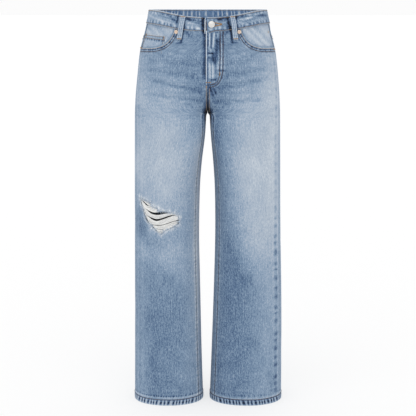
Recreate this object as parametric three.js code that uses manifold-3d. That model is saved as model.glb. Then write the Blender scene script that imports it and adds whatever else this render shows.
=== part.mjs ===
// Ripped wide-leg five-pocket jeans, filled out as if worn and empty inside.
// Millimetres, +Z up, the front faces -Y and the wearer's left is +X.
// The origin is the middle of the waist opening, at the height of the waistband's top edge at the sides.
import * as THREE from 'three';
import { mergeVertices } from 'three/addons/utils/BufferGeometryUtils.js';
import Module from 'manifold-3d';

const wasm = await Module();
wasm.setup();

// Driving sizes
const SEAM_GAP = 0.3;
const CLOTH = 1.4;
const BAND_HEIGHT = 36;
const BAND_PROUD = 1.2;
const BAND_CLOTH = 2.8;
const FRONT_DIP = 19;
const CROTCH = -262;
const HEM = -1045;
const HEM_DEPTH = 15;
const HEM_CLOTH = 3.2;
const RIGHT = -1;
const LEFT = 1;

// Half outlines as pairs of height and size. Each leg has its own, because one hangs a little straighter.
const OUTER = {
  [RIGHT]: [[0, 150.5], [-30, 156.5], [-60, 163.5], [-100, 174.5], [-160, 182], [-240, 189.5],
    [-330, 191.5], [-540, 194], [-800, 196.5], [HEM, 199.5]],
  [LEFT]: [[0, 151.5], [-30, 158.5], [-60, 164], [-100, 174.5], [-160, 182.5], [-240, 188.5],
    [-330, 190.5], [-540, 193.5], [-800, 199.5], [HEM, 201.3]],
};
const INNER = {
  [RIGHT]: [[CROTCH, 0.15], [-267, 2.6], [-290, 4.4], [-330, 7.5], [-400, 16], [-470, 20.8],
    [-590, 22.9], [-720, 20.5], [-900, 16.8], [HEM, 12.5]],
  [LEFT]: [[CROTCH, 0.15], [-267, 3.9], [-290, 5.9], [-330, 8.7], [-400, 15], [-470, 19],
    [-590, 20], [-720, 17], [-900, 11], [HEM, 5.7]],
};
const FRONT_DEPTH = [[0, 93], [-60, 98], [-120, 108], [-190, 116], [-250, 118], [-320, 110],
  [-420, 99], [-590, 84], [-800, 79], [HEM, 78]];
const BACK_DEPTH = [[0, 104], [-60, 112], [-120, 124], [-190, 134], [-260, 132], [-320, 118],
  [-420, 101], [-590, 84], [-800, 81], [HEM, 82]];

// Squareness of the sections: a leg is nearly an ellipse, the hips are a little squarer, and the inner
// thighs lie almost flat against each other just below the fork.
const LEG_SQUARE = 2.15;
const HIP_SQUARE = 2.35;
const INNER_SQUARE = 6;
const INNER_SQUARE_FOOT = -470;

// Turns round a half of the garment, in degrees: 0 is the centre front or inseam, 90 the middle of the
// front, 180 the side, 270 the middle of the back and 360 the centre back or inseam.
const DEGREE = Math.PI / 180;
const OUTSEAM = 158;
const INSEAM_TURN = 14;
const INSEAM_TURN_SPAN = [60, 220];
const FRONT_FORK = 95;
const BACK_FORK = 130;

const mix = (a, b, u) => a + (b - a) * u;

function smooth(from, to, value) {
  const u = Math.min(1, Math.max(0, (value - from) / (to - from)));
  return u * u * (3 - 2 * u);
}

const bump = (value, centre, reach) => Math.exp(-(((value - centre) / reach) ** 2));

const signedPower = (value, power) => Math.sign(value) * Math.abs(value) ** power;

// Smooth curve through a list of pairs, read at a height.
function along(pairs, z) {
  const last = pairs.length - 1;
  if (z >= pairs[0][0]) return pairs[0][1];
  if (z <= pairs[last][0]) return pairs[last][1];
  const i = pairs.findIndex((pair, k) => k < last && z >= pairs[k + 1][0]);
  const slope = (k) => {
    const a = pairs[Math.max(0, k - 1)];
    const b = pairs[Math.min(last, k + 1)];
    return (b[1] - a[1]) / (b[0] - a[0]);
  };
  const step = pairs[i + 1][0] - pairs[i][0];
  const u = (z - pairs[i][0]) / step;
  return (2 * u ** 3 - 3 * u * u + 1) * pairs[i][1] + (u ** 3 - 2 * u * u + u) * step * slope(i)
    + (3 * u * u - 2 * u ** 3) * pairs[i + 1][1] + (u ** 3 - u * u) * step * slope(i + 1);
}

// The largest folds: a knee pushed forward, creases behind the knee and the fold under the seat.
function folds(turn, z) {
  const front = Math.max(0, Math.sin(turn)) ** 1.5;
  const back = Math.max(0, -Math.sin(turn)) ** 1.5;
  const knee = 4 * bump(z, -530, 95) - 2 * bump(z, -640, 45) - 1.5 * bump(z, -360, 50);
  const behind = 2.5 * bump(z, -585, 30) - 4 * bump(z, -535, 28) + 2 * bump(z, -488, 26);
  const seat = -4 * bump(z, -296, 30);
  return front * knee + back * (behind + seat);
}

// A point of the garment: side, turn in degrees, height, and how far it is moved out of the cloth's face.
// Below the fork a section is a closed leg oval, above it the half of one hip section, and the fork blends
// the two along a quarter of an ellipse at the front and a longer one at the back.
function onForm(side, degrees, z, out = 0) {
  const turn = degrees * DEGREE;
  const outer = along(OUTER[side], z) + out;
  const inner = z > CROTCH - out ? SEAM_GAP / 2 : along(INNER[side], z) - out;
  const front = along(FRONT_DEPTH, z) + out;
  const back = along(BACK_DEPTH, z) + out;
  const fold = folds(turn, z);
  const sine = Math.sin(turn);
  const half = Math.cos(turn / 2);
  const cosine = Math.cos(turn);
  const flat = mix(2 / LEG_SQUARE, 2 / INNER_SQUARE, smooth(INNER_SQUARE_FOOT, CROTCH, z));
  const power = cosine > 0 ? flat : 2 / LEG_SQUARE;
  const legX = (outer + inner) / 2 - (outer - inner) / 2 * signedPower(cosine, power);
  const legY = -((sine > 0 ? front : back) + fold) * signedPower(sine, power);
  const hipX = SEAM_GAP / 2 + (outer - SEAM_GAP / 2) * signedPower(Math.sin(turn / 2), 2 / HIP_SQUARE);
  const hipY = -((half > 0 ? front : back) + fold) * signedPower(half, 2 / HIP_SQUARE);
  const fork = mix(FRONT_FORK, BACK_FORK, smooth(110, 250, degrees));
  const rise = Math.min(1, Math.max(0, (z - CROTCH + out) / (fork + out)));
  const edge = smooth(0.5, 0.95, Math.abs(turn - Math.PI) / Math.PI);
  const weight = mix(smooth(-70, fork, z - CROTCH), Math.sqrt(1 - (1 - rise) ** 2), edge);
  return new THREE.Vector3(side * mix(legX, hipX, weight), mix(legY, hipY, weight), z);
}

// How much lower the waist runs at the front than at the sides.
const dip = (degrees) => FRONT_DIP * Math.max(0, Math.cos(degrees * DEGREE / 2)) ** 4;
const bandTop = (degrees) => -dip(degrees);
const bandFoot = (degrees) => -BAND_HEIGHT - dip(degrees);

// The turn reached from another after some millimetres round the section.
function walk(side, degrees, z, length) {
  const step = Math.sign(length) * 0.5;
  let reached = degrees;
  let done = 0;
  let from = onForm(side, degrees, z);
  while (done < Math.abs(length)) {
    const to = onForm(side, reached + step, z);
    done += from.distanceTo(to);
    reached += step;
    from = to;
  }
  return reached;
}

// Closed wall between an outer and an inner grid of points, place(column, row, layer).
function wall(columns, rows, place) {
  const positions = [];
  for (const layer of [0, 1]) {
    for (let j = 0; j <= rows; j += 1) {
      for (let i = 0; i <= columns; i += 1) positions.push(...place(i, j, layer).toArray());
    }
  }
  const at = (i, j, layer) => (layer * (rows + 1) + j) * (columns + 1) + i;
  const index = [];
  const quad = (a, b, c, d) => index.push(a, b, c, a, c, d);
  for (let j = 0; j < rows; j += 1) {
    for (let i = 0; i < columns; i += 1) {
      quad(at(i, j, 0), at(i, j + 1, 0), at(i + 1, j + 1, 0), at(i + 1, j, 0));
      quad(at(i, j, 1), at(i + 1, j, 1), at(i + 1, j + 1, 1), at(i, j + 1, 1));
    }
  }
  for (let i = 0; i < columns; i += 1) {
    quad(at(i, 0, 0), at(i + 1, 0, 0), at(i + 1, 0, 1), at(i, 0, 1));
    quad(at(i, rows, 0), at(i, rows, 1), at(i + 1, rows, 1), at(i + 1, rows, 0));
  }
  for (let j = 0; j < rows; j += 1) {
    quad(at(0, j, 0), at(0, j, 1), at(0, j + 1, 1), at(0, j + 1, 0));
    quad(at(columns, j, 0), at(columns, j + 1, 0), at(columns, j + 1, 1), at(columns, j, 1));
  }
  const geometry = new THREE.BufferGeometry();
  geometry.setAttribute('position', new THREE.Float32BufferAttribute(positions, 3));
  geometry.setIndex(index);
  return facingOut(geometry);
}

// Turns a closed mesh the right way out by the sign of its volume.
function facingOut(geometry) {
  const points = geometry.getAttribute('position');
  const index = geometry.getIndex().array;
  const corner = [new THREE.Vector3(), new THREE.Vector3(), new THREE.Vector3()];
  let volume = 0;
  for (let k = 0; k < index.length; k += 3) {
    corner.forEach((point, n) => point.fromBufferAttribute(points, index[k + n]));
    volume += corner[0].dot(corner[1].clone().cross(corner[2]));
  }
  if (volume < 0) {
    for (let k = 0; k < index.length; k += 3) {
      [index[k + 1], index[k + 2]] = [index[k + 2], index[k + 1]];
    }
  }
  return geometry;
}

function toSolid(geometry) {
  const bare = geometry.clone();
  bare.deleteAttribute('normal');
  bare.deleteAttribute('uv');
  const merged = mergeVertices(bare, 1e-4);
  return new wasm.Manifold(new wasm.Mesh({
    numProp: 3,
    vertProperties: new Float32Array(merged.getAttribute('position').array),
    triVerts: new Uint32Array(merged.getIndex().array),
  }));
}

function toGeometry(solid) {
  const mesh = solid.getMesh();
  const geometry = new THREE.BufferGeometry();
  geometry.setAttribute('position', new THREE.Float32BufferAttribute(mesh.vertProperties, 3));
  geometry.setIndex([...mesh.triVerts]);
  return geometry;
}

const garment = new THREE.Group();
garment.name = 'ripped_jeans';

function add(name, geometry, colour, roughness = 0.9, metalness = 0) {
  const material = new THREE.MeshStandardMaterial({ color: colour, roughness, metalness });
  const mesh = new THREE.Mesh(geometry, material);
  mesh.name = name;
  garment.add(mesh);
  return mesh;
}

const DENIM = 0x7f97b4;
const DENIM_DARK = 0x5f7896;
const THREAD = 0xe6e6e2;
const STEEL = 0xc9c8c4;
const COPPER = 0xb98f6c;

// Heights of the rows below the pocket opening, closer at the fork, the fold under the seat and the hem.
const HEM_TOP = HEM + HEM_DEPTH;
const ROWS = [-120, -150, -178, -204, -227, -244, -255, -260, CROTCH, -267, -280, -295, -315, -345, -390, -440,
  -488, -512, -535, -560, -585, -640, -710, -790, -870, -950, HEM_TOP + 1, HEM_TOP - 1, HEM];

// The inner face of a panel: its height runs higher under the fork, and the turned-up hem is thicker.
function innerHeight(z) {
  const above = Math.max(0, z - CROTCH);
  return z + CLOTH * Math.max(0, 1 - above / FRONT_FORK) * smooth(-60, 0, z - CROTCH);
}
const innerOut = (z) => (z < HEM_TOP ? -HEM_CLOTH : -CLOTH);

// The edges of the panels at the inseam and the outseam, with half a seam gap kept free.
const GAP_TURN = 0.12;
const INSEAM_CLEAR = 0.2;
const inseam = (z) => INSEAM_TURN * smooth(...INSEAM_TURN_SPAN, CROTCH - z);

function onPanel(side, degrees, z, layer) {
  return layer ? onForm(side, degrees, innerHeight(z), innerOut(z)) : onForm(side, degrees, z);
}

// The pocket opening as turn and height, from the band to the outseam.
const OPENING = [[55, -52.5], [57, -61], [60, -69.5], [65.5, -80], [75, -88.5], [90, -94], [106, -95.8],
  [123, -96.2], [140, -96.4], [OUTSEAM, -96.5]];
const OPENING_START = -112;

// The left front laps over the right one as far as the foot of the fly.
const LAP = { [RIGHT]: 1.4, [LEFT]: -1.15 };
const FLY_FOOT = -192;
const LAP_END = 16;
const centreFront = (side, z) => LAP[side] * smooth(FLY_FOOT - LAP_END, FLY_FOOT, z);

const FRONT_COLUMNS = 11;

// A front: its top edge follows the band and its outer corner is scooped out for the pocket.
function frontPanel(side) {
  const scoop = OPENING.length;
  return wall(FRONT_COLUMNS, scoop + ROWS.length - 1, (i, j, layer) => {
    const u = i / FRONT_COLUMNS;
    if (j >= scoop) {
      const z = ROWS[j - scoop];
      const start = z > CROTCH ? centreFront(side, z) : inseam(z);
      const point = onPanel(side, mix(start, OUTSEAM - GAP_TURN, u), z, layer);
      if (i === 0 && z <= CROTCH) point.y -= INSEAM_CLEAR;
      return point;
    }
    const [endTurn, endZ] = OPENING[j];
    const v = j / (scoop - 1);
    const start = centreFront(side, 0);
    const degrees = mix(start, Math.min(endTurn, OUTSEAM - GAP_TURN), u);
    const top = bandFoot(degrees) - SEAM_GAP;
    const straight = mix(bandFoot(0) - SEAM_GAP, bandFoot(OPENING[0][0]) - SEAM_GAP, u);
    const z = mix(mix(bandFoot(0) - SEAM_GAP, OPENING_START, v), endZ, u) + (top - straight) * (1 - v);
    return onPanel(side, degrees, z, layer);
  });
}

// The yoke: deeper at the centre back than at the side.
const YOKE_SIDE = 38;
const YOKE_CENTRE = 72;
const yokeFoot = (degrees) => bandFoot(degrees)
  - mix(YOKE_SIDE, YOKE_CENTRE, (degrees - OUTSEAM) / (360 - OUTSEAM));
const BACK_COLUMNS = 12;

function yoke(side) {
  const rows = 3;
  return wall(BACK_COLUMNS, rows, (i, j, layer) => {
    const degrees = mix(OUTSEAM + GAP_TURN, 360, i / BACK_COLUMNS);
    const z = mix(bandFoot(degrees) - SEAM_GAP, yokeFoot(degrees), j / rows);
    return onPanel(side, degrees, z, layer);
  });
}

// A back: from the yoke to the hem.
const BACK_TOP_ROWS = 2;
function backPanel(side) {
  return wall(BACK_COLUMNS, BACK_TOP_ROWS + ROWS.length - 1, (i, j, layer) => {
    const lower = j >= BACK_TOP_ROWS;
    const z = lower ? ROWS[j - BACK_TOP_ROWS] : ROWS[0];
    const end = z > CROTCH ? 360 : 360 + inseam(z);
    const degrees = mix(OUTSEAM + GAP_TURN, end, i / BACK_COLUMNS);
    const height = mix(yokeFoot(degrees) - SEAM_GAP, ROWS[0], j / BACK_TOP_ROWS);
    const point = onPanel(side, degrees, lower ? z : height, layer);
    if (i === BACK_COLUMNS && z <= CROTCH) point.y += INSEAM_CLEAR;
    return point;
  });
}

// The rip over the wearer's right knee, as seen from the front: across and up, in millimetres.
const RIP = [[-177.5, -480], [-161.7, -485], [-148.5, -491], [-145.5, -498], [-129.5, -505], [-126, -513],
  [-104, -513], [-82, -520.5], [-75, -528], [-72.5, -545], [-80.5, -551.5], [-97, -559], [-112.5, -566],
  [-121, -575.5], [-132, -566.5], [-152.5, -547.5], [-159.5, -543], [-163.5, -530.5], [-167.5, -517],
  [-171.5, -503], [-174.5, -493.5]];
const SLITS = [
  [[-155, -513], [-146, -518.5], [-127, -519], [-101, -516]],
  [[-153, -529], [-142, -533.5], [-132, -536], [-117, -532.5], [-84, -522.5]],
];
const SLIT_WIDTH = [6, 5];
const NEAR_Y = -130;
const FAR_Y = -35;

// A prism along the front-to-back direction over an outline of across and up.
function prism(outline) {
  const shape = new THREE.Shape(outline.map(([x, z]) => new THREE.Vector2(x, z)));
  const geometry = new THREE.ExtrudeGeometry(shape, { depth: FAR_Y - NEAR_Y, bevelEnabled: false });
  geometry.rotateX(Math.PI / 2);
  geometry.translate(0, FAR_Y, 0);
  return toSolid(geometry);
}

// A slit's outline: widest in its middle and pointed at its ends.
function slitOutline(line, width) {
  const curve = new THREE.SplineCurve(line.map(([x, z]) => new THREE.Vector2(x, z)));
  const steps = 8;
  const upper = [];
  const lower = [];
  for (let k = 0; k <= steps; k += 1) {
    const point = curve.getPoint(k / steps);
    const half = width / 2 * Math.sin(Math.PI * k / steps);
    upper.push([point.x, point.y + half]);
    if (k > 0 && k < steps) lower.unshift([point.x, point.y - half]);
  }
  return [...upper, ...lower];
}

// An outline drawn in by a distance, its corners kept sharp. It runs clockwise as seen from the front.
function inset(outline, distance) {
  return outline.map((here, k) => {
    const before = outline.at(k - 1);
    const after = outline[(k + 1) % outline.length];
    const [inward, outward] = [[before, here], [here, after]].map(([a, b]) => {
      const length = Math.hypot(b[0] - a[0], b[1] - a[1]);
      return [(b[1] - a[1]) / length, (a[0] - b[0]) / length];
    });
    const share = distance / (1 + inward[0] * outward[0] + inward[1] * outward[1]);
    return [here[0] + share * (inward[0] + outward[0]), here[1] + share * (inward[1] + outward[1])];
  });
}

// The weft threads left across the rip, as one thin patch a little behind the face of the front.
const WEFT_OUT = [-0.15, -1.15];
const WEFT_CLEAR = 0.5;
const RIP_ROWS = ROWS.filter((z) => z < -430 && z > -600);

function weftPatch() {
  const columns = FRONT_COLUMNS;
  const patch = wall(columns, RIP_ROWS.length - 1, (i, j, layer) => {
    const z = RIP_ROWS[j];
    const degrees = mix(inseam(z), OUTSEAM - GAP_TURN, i / columns);
    return onForm(RIGHT, degrees, z, WEFT_OUT[layer]);
  });
  let solid = toSolid(patch).intersect(prism(inset(RIP, WEFT_CLEAR)));
  SLITS.forEach((line, k) => {
    solid = solid.subtract(prism(slitOutline(line, SLIT_WIDTH[k])));
  });
  return toGeometry(solid);
}

add('front_right', toGeometry(toSolid(frontPanel(RIGHT)).subtract(prism(RIP))), DENIM);
add('front_left', frontPanel(LEFT), DENIM);
add('back_right', backPanel(RIGHT), DENIM);
add('back_left', backPanel(LEFT), DENIM);
add('yoke_right', yoke(RIGHT), DENIM);
add('yoke_left', yoke(LEFT), DENIM);
add('knee_weft', weftPatch(), THREAD);

// The facings that back the pocket openings, and the coin pocket sewn on the right one.
const FACING_OUT = [-3.9, -5];
const FACING_START = 50;
const FACING_FOOT = -130;
const FACING_COLUMNS = 8;
const FACING_ROWS = 4;

function pocketFacing(side) {
  return wall(FACING_COLUMNS, FACING_ROWS, (i, j, layer) => {
    const degrees = mix(FACING_START, OUTSEAM - GAP_TURN, i / FACING_COLUMNS);
    const z = mix(bandFoot(degrees) - SEAM_GAP, FACING_FOOT, j / FACING_ROWS);
    return onForm(side, degrees, z, FACING_OUT[layer]);
  });
}

const COIN_OUT = [-2.5, -3.4];
const COIN_FROM = 74;
const COIN_TO = 148;
const COIN_TOP = [-66, -60.5];
const COIN_FOOT = -122;

function coinPocket(side) {
  const columns = 6;
  const rows = 3;
  return wall(columns, rows, (i, j, layer) => {
    const u = i / columns;
    const z = mix(mix(COIN_TOP[0], COIN_TOP[1], u), COIN_FOOT, j / rows);
    return onForm(side, mix(COIN_FROM, COIN_TO, u), z, COIN_OUT[layer]);
  });
}

add('pocket_facing_right', pocketFacing(RIGHT), DENIM_DARK);
add('pocket_facing_left', pocketFacing(LEFT), DENIM_DARK);
add('coin_pocket', coinPocket(RIGHT), DENIM);

// The back pockets: patches with a pointed foot, a little narrower at the foot than at the top.
const BACK_POCKET_CENTRE = 88;
const BACK_POCKET_TOP = -107;
const BACK_POCKET_WIDTH = [142, 124];
const BACK_POCKET_SIDE = 116;
const BACK_POCKET_POINT = 20;
const BACK_POCKET_OUT = [2.6, 1.2];
const BACK_HALF = [230, 360];

// The turn whose point lies a distance from the middle of the seat.
function turnBehind(side, distance, z) {
  let [outer, centre] = BACK_HALF;
  for (let step = 0; step < 24; step += 1) {
    const middle = (outer + centre) / 2;
    if (Math.abs(onForm(side, middle, z).x) > distance) {
      outer = middle;
    } else {
      centre = middle;
    }
  }
  return centre;
}

function backPocket(side) {
  const columns = 8;
  const rows = 6;
  return wall(columns, rows, (i, j, layer) => {
    const u = i / columns * 2 - 1;
    const v = j / rows;
    const z = BACK_POCKET_TOP - v * (BACK_POCKET_SIDE + BACK_POCKET_POINT * (1 - Math.abs(u)));
    const across = u * mix(BACK_POCKET_WIDTH[0], BACK_POCKET_WIDTH[1], v) / 2;
    const degrees = walk(side, turnBehind(side, BACK_POCKET_CENTRE, z), z, across);
    return onForm(side, degrees, z, BACK_POCKET_OUT[layer]);
  });
}

add('back_pocket_right', backPocket(RIGHT), DENIM);
add('back_pocket_left', backPocket(LEFT), DENIM);

// The waistband, one strip: from its end on the right of the centre front, round the left side, the back
// and the right side, to its other end tucked under the first.
const LAP_TURNS = [0, 4, 8, 13, 18];
const AROUND = [8, 18, 30, 44, 60, 78, 98, 118, 140, 158, 180, 204, 228, 250, 272, 292, 312, 330, 346];
const BAND_END_TURN = 2.6;
const TUCK_FROM = 26;
const TUCK_TO = 3.4;
const TUCK = -(BAND_CLOTH + 0.7);

function waistband() {
  const stations = [[RIGHT, BAND_END_TURN, 0], [LEFT, 0, 0]];
  AROUND.forEach((degrees) => stations.push([LEFT, degrees, 0]));
  stations.push([LEFT, 360, 0]);
  [...AROUND].reverse().forEach((degrees) => {
    stations.push([RIGHT, degrees, TUCK * smooth(TUCK_FROM, TUCK_TO, degrees)]);
  });
  stations.push([RIGHT, TUCK_TO, TUCK]);
  LAP_TURNS.forEach((degrees) => stations.push([LEFT, degrees, TUCK]));
  const rows = 2;
  return wall(stations.length - 1, rows, (i, j, layer) => {
    const [side, degrees, shift] = stations[i];
    const z = mix(bandTop(degrees), bandFoot(degrees), j / rows);
    const out = BAND_PROUD - (layer ? BAND_CLOTH : 0) + shift;
    const point = onForm(side, degrees, z, out);
    if (degrees === 0 || degrees === 360) point.x = 0;
    return point;
  });
}

// The button stands on the tucked end of the band, and its neck goes through the lapping end.
const BUTTON_TURN = 4.2;
const BUTTON_HEIGHT = -37;
const BUTTON_RADIUS = 8.6;
const NECK_RADIUS = 2.8;
const BUTTONHOLE_RADIUS = 3.3;

// Outward direction of the cloth at a point.
function outward(side, degrees, z) {
  const round = onForm(side, degrees + 0.5, z).sub(onForm(side, degrees - 0.5, z));
  const down = onForm(side, degrees, z - 2).sub(onForm(side, degrees, z + 2));
  return round.cross(down).multiplyScalar(side).normalize();
}

// Sets a turned piece, made along +Y, on the cloth with its foot moved out by some millimetres.
function setOnForm(geometry, side, degrees, z, out) {
  const normal = outward(side, degrees, z);
  if (normal.dot(onForm(side, degrees, z, 1).sub(onForm(side, degrees, z))) < 0) normal.negate();
  geometry.applyQuaternion(new THREE.Quaternion().setFromUnitVectors(new THREE.Vector3(0, 1, 0), normal));
  const place = onForm(side, degrees, z).addScaledVector(normal, out);
  geometry.translate(place.x, place.y, place.z);
  return geometry;
}

function turned(profile, segments) {
  const lathe = new THREE.LatheGeometry(profile.map(([r, h]) => new THREE.Vector2(r, h)), segments);
  lathe.deleteAttribute('normal');
  lathe.deleteAttribute('uv');
  return facingOut(mergeVertices(lathe, 1e-4));
}

const tuckedFace = BAND_PROUD + TUCK;
const BUTTON_FOOT = tuckedFace + 0.45;
const BUTTON_RISE = BAND_PROUD + 0.45 - BUTTON_FOOT;
const buttonProfile = [[0, 0], [NECK_RADIUS, 0], [NECK_RADIUS, BUTTON_RISE], [BUTTON_RADIUS - 0.8, BUTTON_RISE],
  [BUTTON_RADIUS, BUTTON_RISE + 0.9], [BUTTON_RADIUS - 0.6, BUTTON_RISE + 2], [6.6, BUTTON_RISE + 2.9],
  [4, BUTTON_RISE + 3.5], [0, BUTTON_RISE + 3.8]];
const holeProfile = [[0, 0], [BUTTONHOLE_RADIUS, 0], [BUTTONHOLE_RADIUS, 12], [0, 12]];
const hole = setOnForm(turned(holeProfile, 20), LEFT, BUTTON_TURN, BUTTON_HEIGHT,
  BAND_PROUD - BAND_CLOTH - 0.35);
add('waistband', toGeometry(toSolid(waistband()).subtract(toSolid(hole))), DENIM);
add('button', setOnForm(turned(buttonProfile, 28), LEFT, BUTTON_TURN, BUTTON_HEIGHT, BUTTON_FOOT),
  STEEL, 0.35, 1);

// A rivet at the inner end of each pocket opening.
const RIVET_TURN = 50.5;
const RIVET_BELOW_BAND = 7;
const RIVET_OUT = 0.35;
const rivetProfile = [[0, 0], [4.7, 0], [4.9, 0.5], [4.2, 1.3], [3, 1.7], [1.6, 1.2], [0, 1.5]];

for (const [name, side] of [['rivet_right', RIGHT], ['rivet_left', LEFT]]) {
  const height = bandFoot(RIVET_TURN) - RIVET_BELOW_BAND;
  add(name, setOnForm(turned(rivetProfile, 20), side, RIVET_TURN, height, RIVET_OUT), COPPER, 0.4, 1);
}

// Belt loops: narrow strips that stand off the band and lie on the cloth below it.
const LOOP_WIDTH = 12.5;
const LOOP_CLOTH = 1.8;
const LOOP_ABOVE = 1;
const LOOP_BELOW = 24;
const LOOP_LIFT = [[0, 1.7], [0.16, 3.6], [0.35, 4.4], [0.52, 3.9], [0.66, 2.3], [0.82, 1.1], [1, 0.8]];

function beltLoop(side, topTurn, footTurn) {
  const columns = 2;
  return wall(columns, LOOP_LIFT.length - 1, (i, j, layer) => {
    const [v, lift] = LOOP_LIFT[j];
    const middle = mix(topTurn, footTurn, v);
    const z = mix(bandTop(middle) - LOOP_ABOVE, bandFoot(middle) - LOOP_BELOW, v);
    const across = (i - 1) * LOOP_WIDTH / 2;
    const out = lift + (layer ? 0 : LOOP_CLOTH);
    if (middle === 360) {
      const point = onForm(i === 0 ? LEFT : RIGHT, 360, z, out);
      point.x = -across;
      return point;
    }
    const degrees = across === 0 ? middle : walk(side, middle, z, across);
    return onForm(side, degrees, z, out);
  });
}

const LOOPS = [
  ['belt_loop_front_right', RIGHT, 38.5, 43],
  ['belt_loop_front_left', LEFT, 38.5, 42],
  ['belt_loop_back_right', RIGHT, 284, 284],
  ['belt_loop_back_left', LEFT, 284, 284],
  ['belt_loop_centre_back', LEFT, 360, 360],
];
for (const [name, side, topTurn, footTurn] of LOOPS) add(name, beltLoop(side, topTurn, footTurn), DENIM_DARK);

export default garment;
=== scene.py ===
import math

import bmesh
import bpy
import numpy as np
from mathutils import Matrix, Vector


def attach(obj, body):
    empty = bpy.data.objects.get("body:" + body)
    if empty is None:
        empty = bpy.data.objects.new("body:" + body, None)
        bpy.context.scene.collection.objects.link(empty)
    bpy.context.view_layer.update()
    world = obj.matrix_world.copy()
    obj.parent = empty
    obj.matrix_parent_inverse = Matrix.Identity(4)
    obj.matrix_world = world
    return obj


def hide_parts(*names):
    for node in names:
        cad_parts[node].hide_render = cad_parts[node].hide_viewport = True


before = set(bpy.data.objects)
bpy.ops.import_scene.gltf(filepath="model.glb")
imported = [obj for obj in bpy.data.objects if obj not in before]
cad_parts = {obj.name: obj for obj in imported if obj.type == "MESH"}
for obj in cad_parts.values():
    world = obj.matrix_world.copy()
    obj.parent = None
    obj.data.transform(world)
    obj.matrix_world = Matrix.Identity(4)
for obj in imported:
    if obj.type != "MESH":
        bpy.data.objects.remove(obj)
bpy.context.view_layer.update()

# --- Legs ---------------------------------------------------------------------------------------------
# Two fronts and two backs of washed cotton denim, each cut in one from the waist to the turned-up hem and
# sewn at the inseam, outseam and seat. The jeans stand filled out as on a wearer and are empty inside.
# All sizes are millimetres; RIGHT and LEFT are the wearer's, and the wearer's left is +X.
RIGHT = -1
LEFT = 1
CROTCH = -262
HEM = -1045
HALF_GAP = 0.15
DENIM_WALL = 1.4
OUTSEAM = 158
OUTER = {
    RIGHT: [(0, 150.5), (-30, 156.5), (-60, 163.5), (-100, 174.5), (-160, 182), (-240, 189.5),
            (-330, 191.5), (-540, 194), (-800, 196.5), (HEM, 199.5)],
    LEFT: [(0, 151.5), (-30, 158.5), (-60, 164), (-100, 174.5), (-160, 182.5), (-240, 188.5),
           (-330, 190.5), (-540, 193.5), (-800, 199.5), (HEM, 201.3)],
}
INNER = {
    RIGHT: [(CROTCH, 0.15), (-267, 2.6), (-290, 4.4), (-330, 7.5), (-400, 16), (-470, 20.8),
            (-590, 22.9), (-720, 20.5), (-900, 16.8), (HEM, 12.5)],
    LEFT: [(CROTCH, 0.15), (-267, 3.9), (-290, 5.9), (-330, 8.7), (-400, 15), (-470, 19),
           (-590, 20), (-720, 17), (-900, 11), (HEM, 5.7)],
}
FRONT_DEPTH = [(0, 93), (-60, 98), (-120, 108), (-190, 116), (-250, 118), (-320, 110), (-420, 99),
               (-590, 84), (-800, 79), (HEM, 78)]
BACK_DEPTH = [(0, 104), (-60, 112), (-120, 124), (-190, 134), (-260, 132), (-320, 118), (-420, 101),
              (-590, 84), (-800, 81), (HEM, 82)]
LEG_POWER = 2 / 2.15
HIP_POWER = 2 / 2.35
FLAT_POWER = 2 / 6
FORK = (95, 130)
FRONT_DIP = 19
BAND_HEIGHT = 36


def mix(a, b, u):
    return a + (b - a) * u


def smooth(start, end, value):
    u = np.clip((np.asarray(value, float) - start) / (end - start), 0, 1)
    return u * u * (3 - 2 * u)


def bump(value, centre, reach):
    return np.exp(-(((value - centre) / reach) ** 2))


def signed_power(value, power):
    return np.sign(value) * np.abs(value) ** power


def along(pairs, z):
    """Smooth curve through pairs of height and size, read at heights z."""
    height = np.array([pair[0] for pair in reversed(pairs)], float)
    size = np.array([pair[1] for pair in reversed(pairs)], float)
    slope = np.gradient(size, height)
    slope[1:-1] = (size[2:] - size[:-2]) / (height[2:] - height[:-2])
    z = np.clip(np.asarray(z, float), height[0], height[-1])
    k = np.clip(np.searchsorted(height, z) - 1, 0, len(height) - 2)
    step = height[k + 1] - height[k]
    u = (z - height[k]) / step
    return ((2 * u**3 - 3 * u * u + 1) * size[k] + (u**3 - 2 * u * u + u) * step * slope[k]
            + (3 * u * u - 2 * u**3) * size[k + 1] + (u**3 - u * u) * step * slope[k + 1])


def folds(turn, z):
    """The knee pushed forward, the creases behind it and the fold under the seat, as on the solids."""
    front = np.maximum(0, np.sin(turn)) ** 1.5
    back = np.maximum(0, -np.sin(turn)) ** 1.5
    knee = 4 * bump(z, -530, 95) - 2 * bump(z, -640, 45) - 1.5 * bump(z, -360, 50)
    behind = 2.5 * bump(z, -585, 30) - 4 * bump(z, -535, 28) + 2 * bump(z, -488, 26)
    return front * knee + back * (behind - 4 * bump(z, -296, 30))


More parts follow.
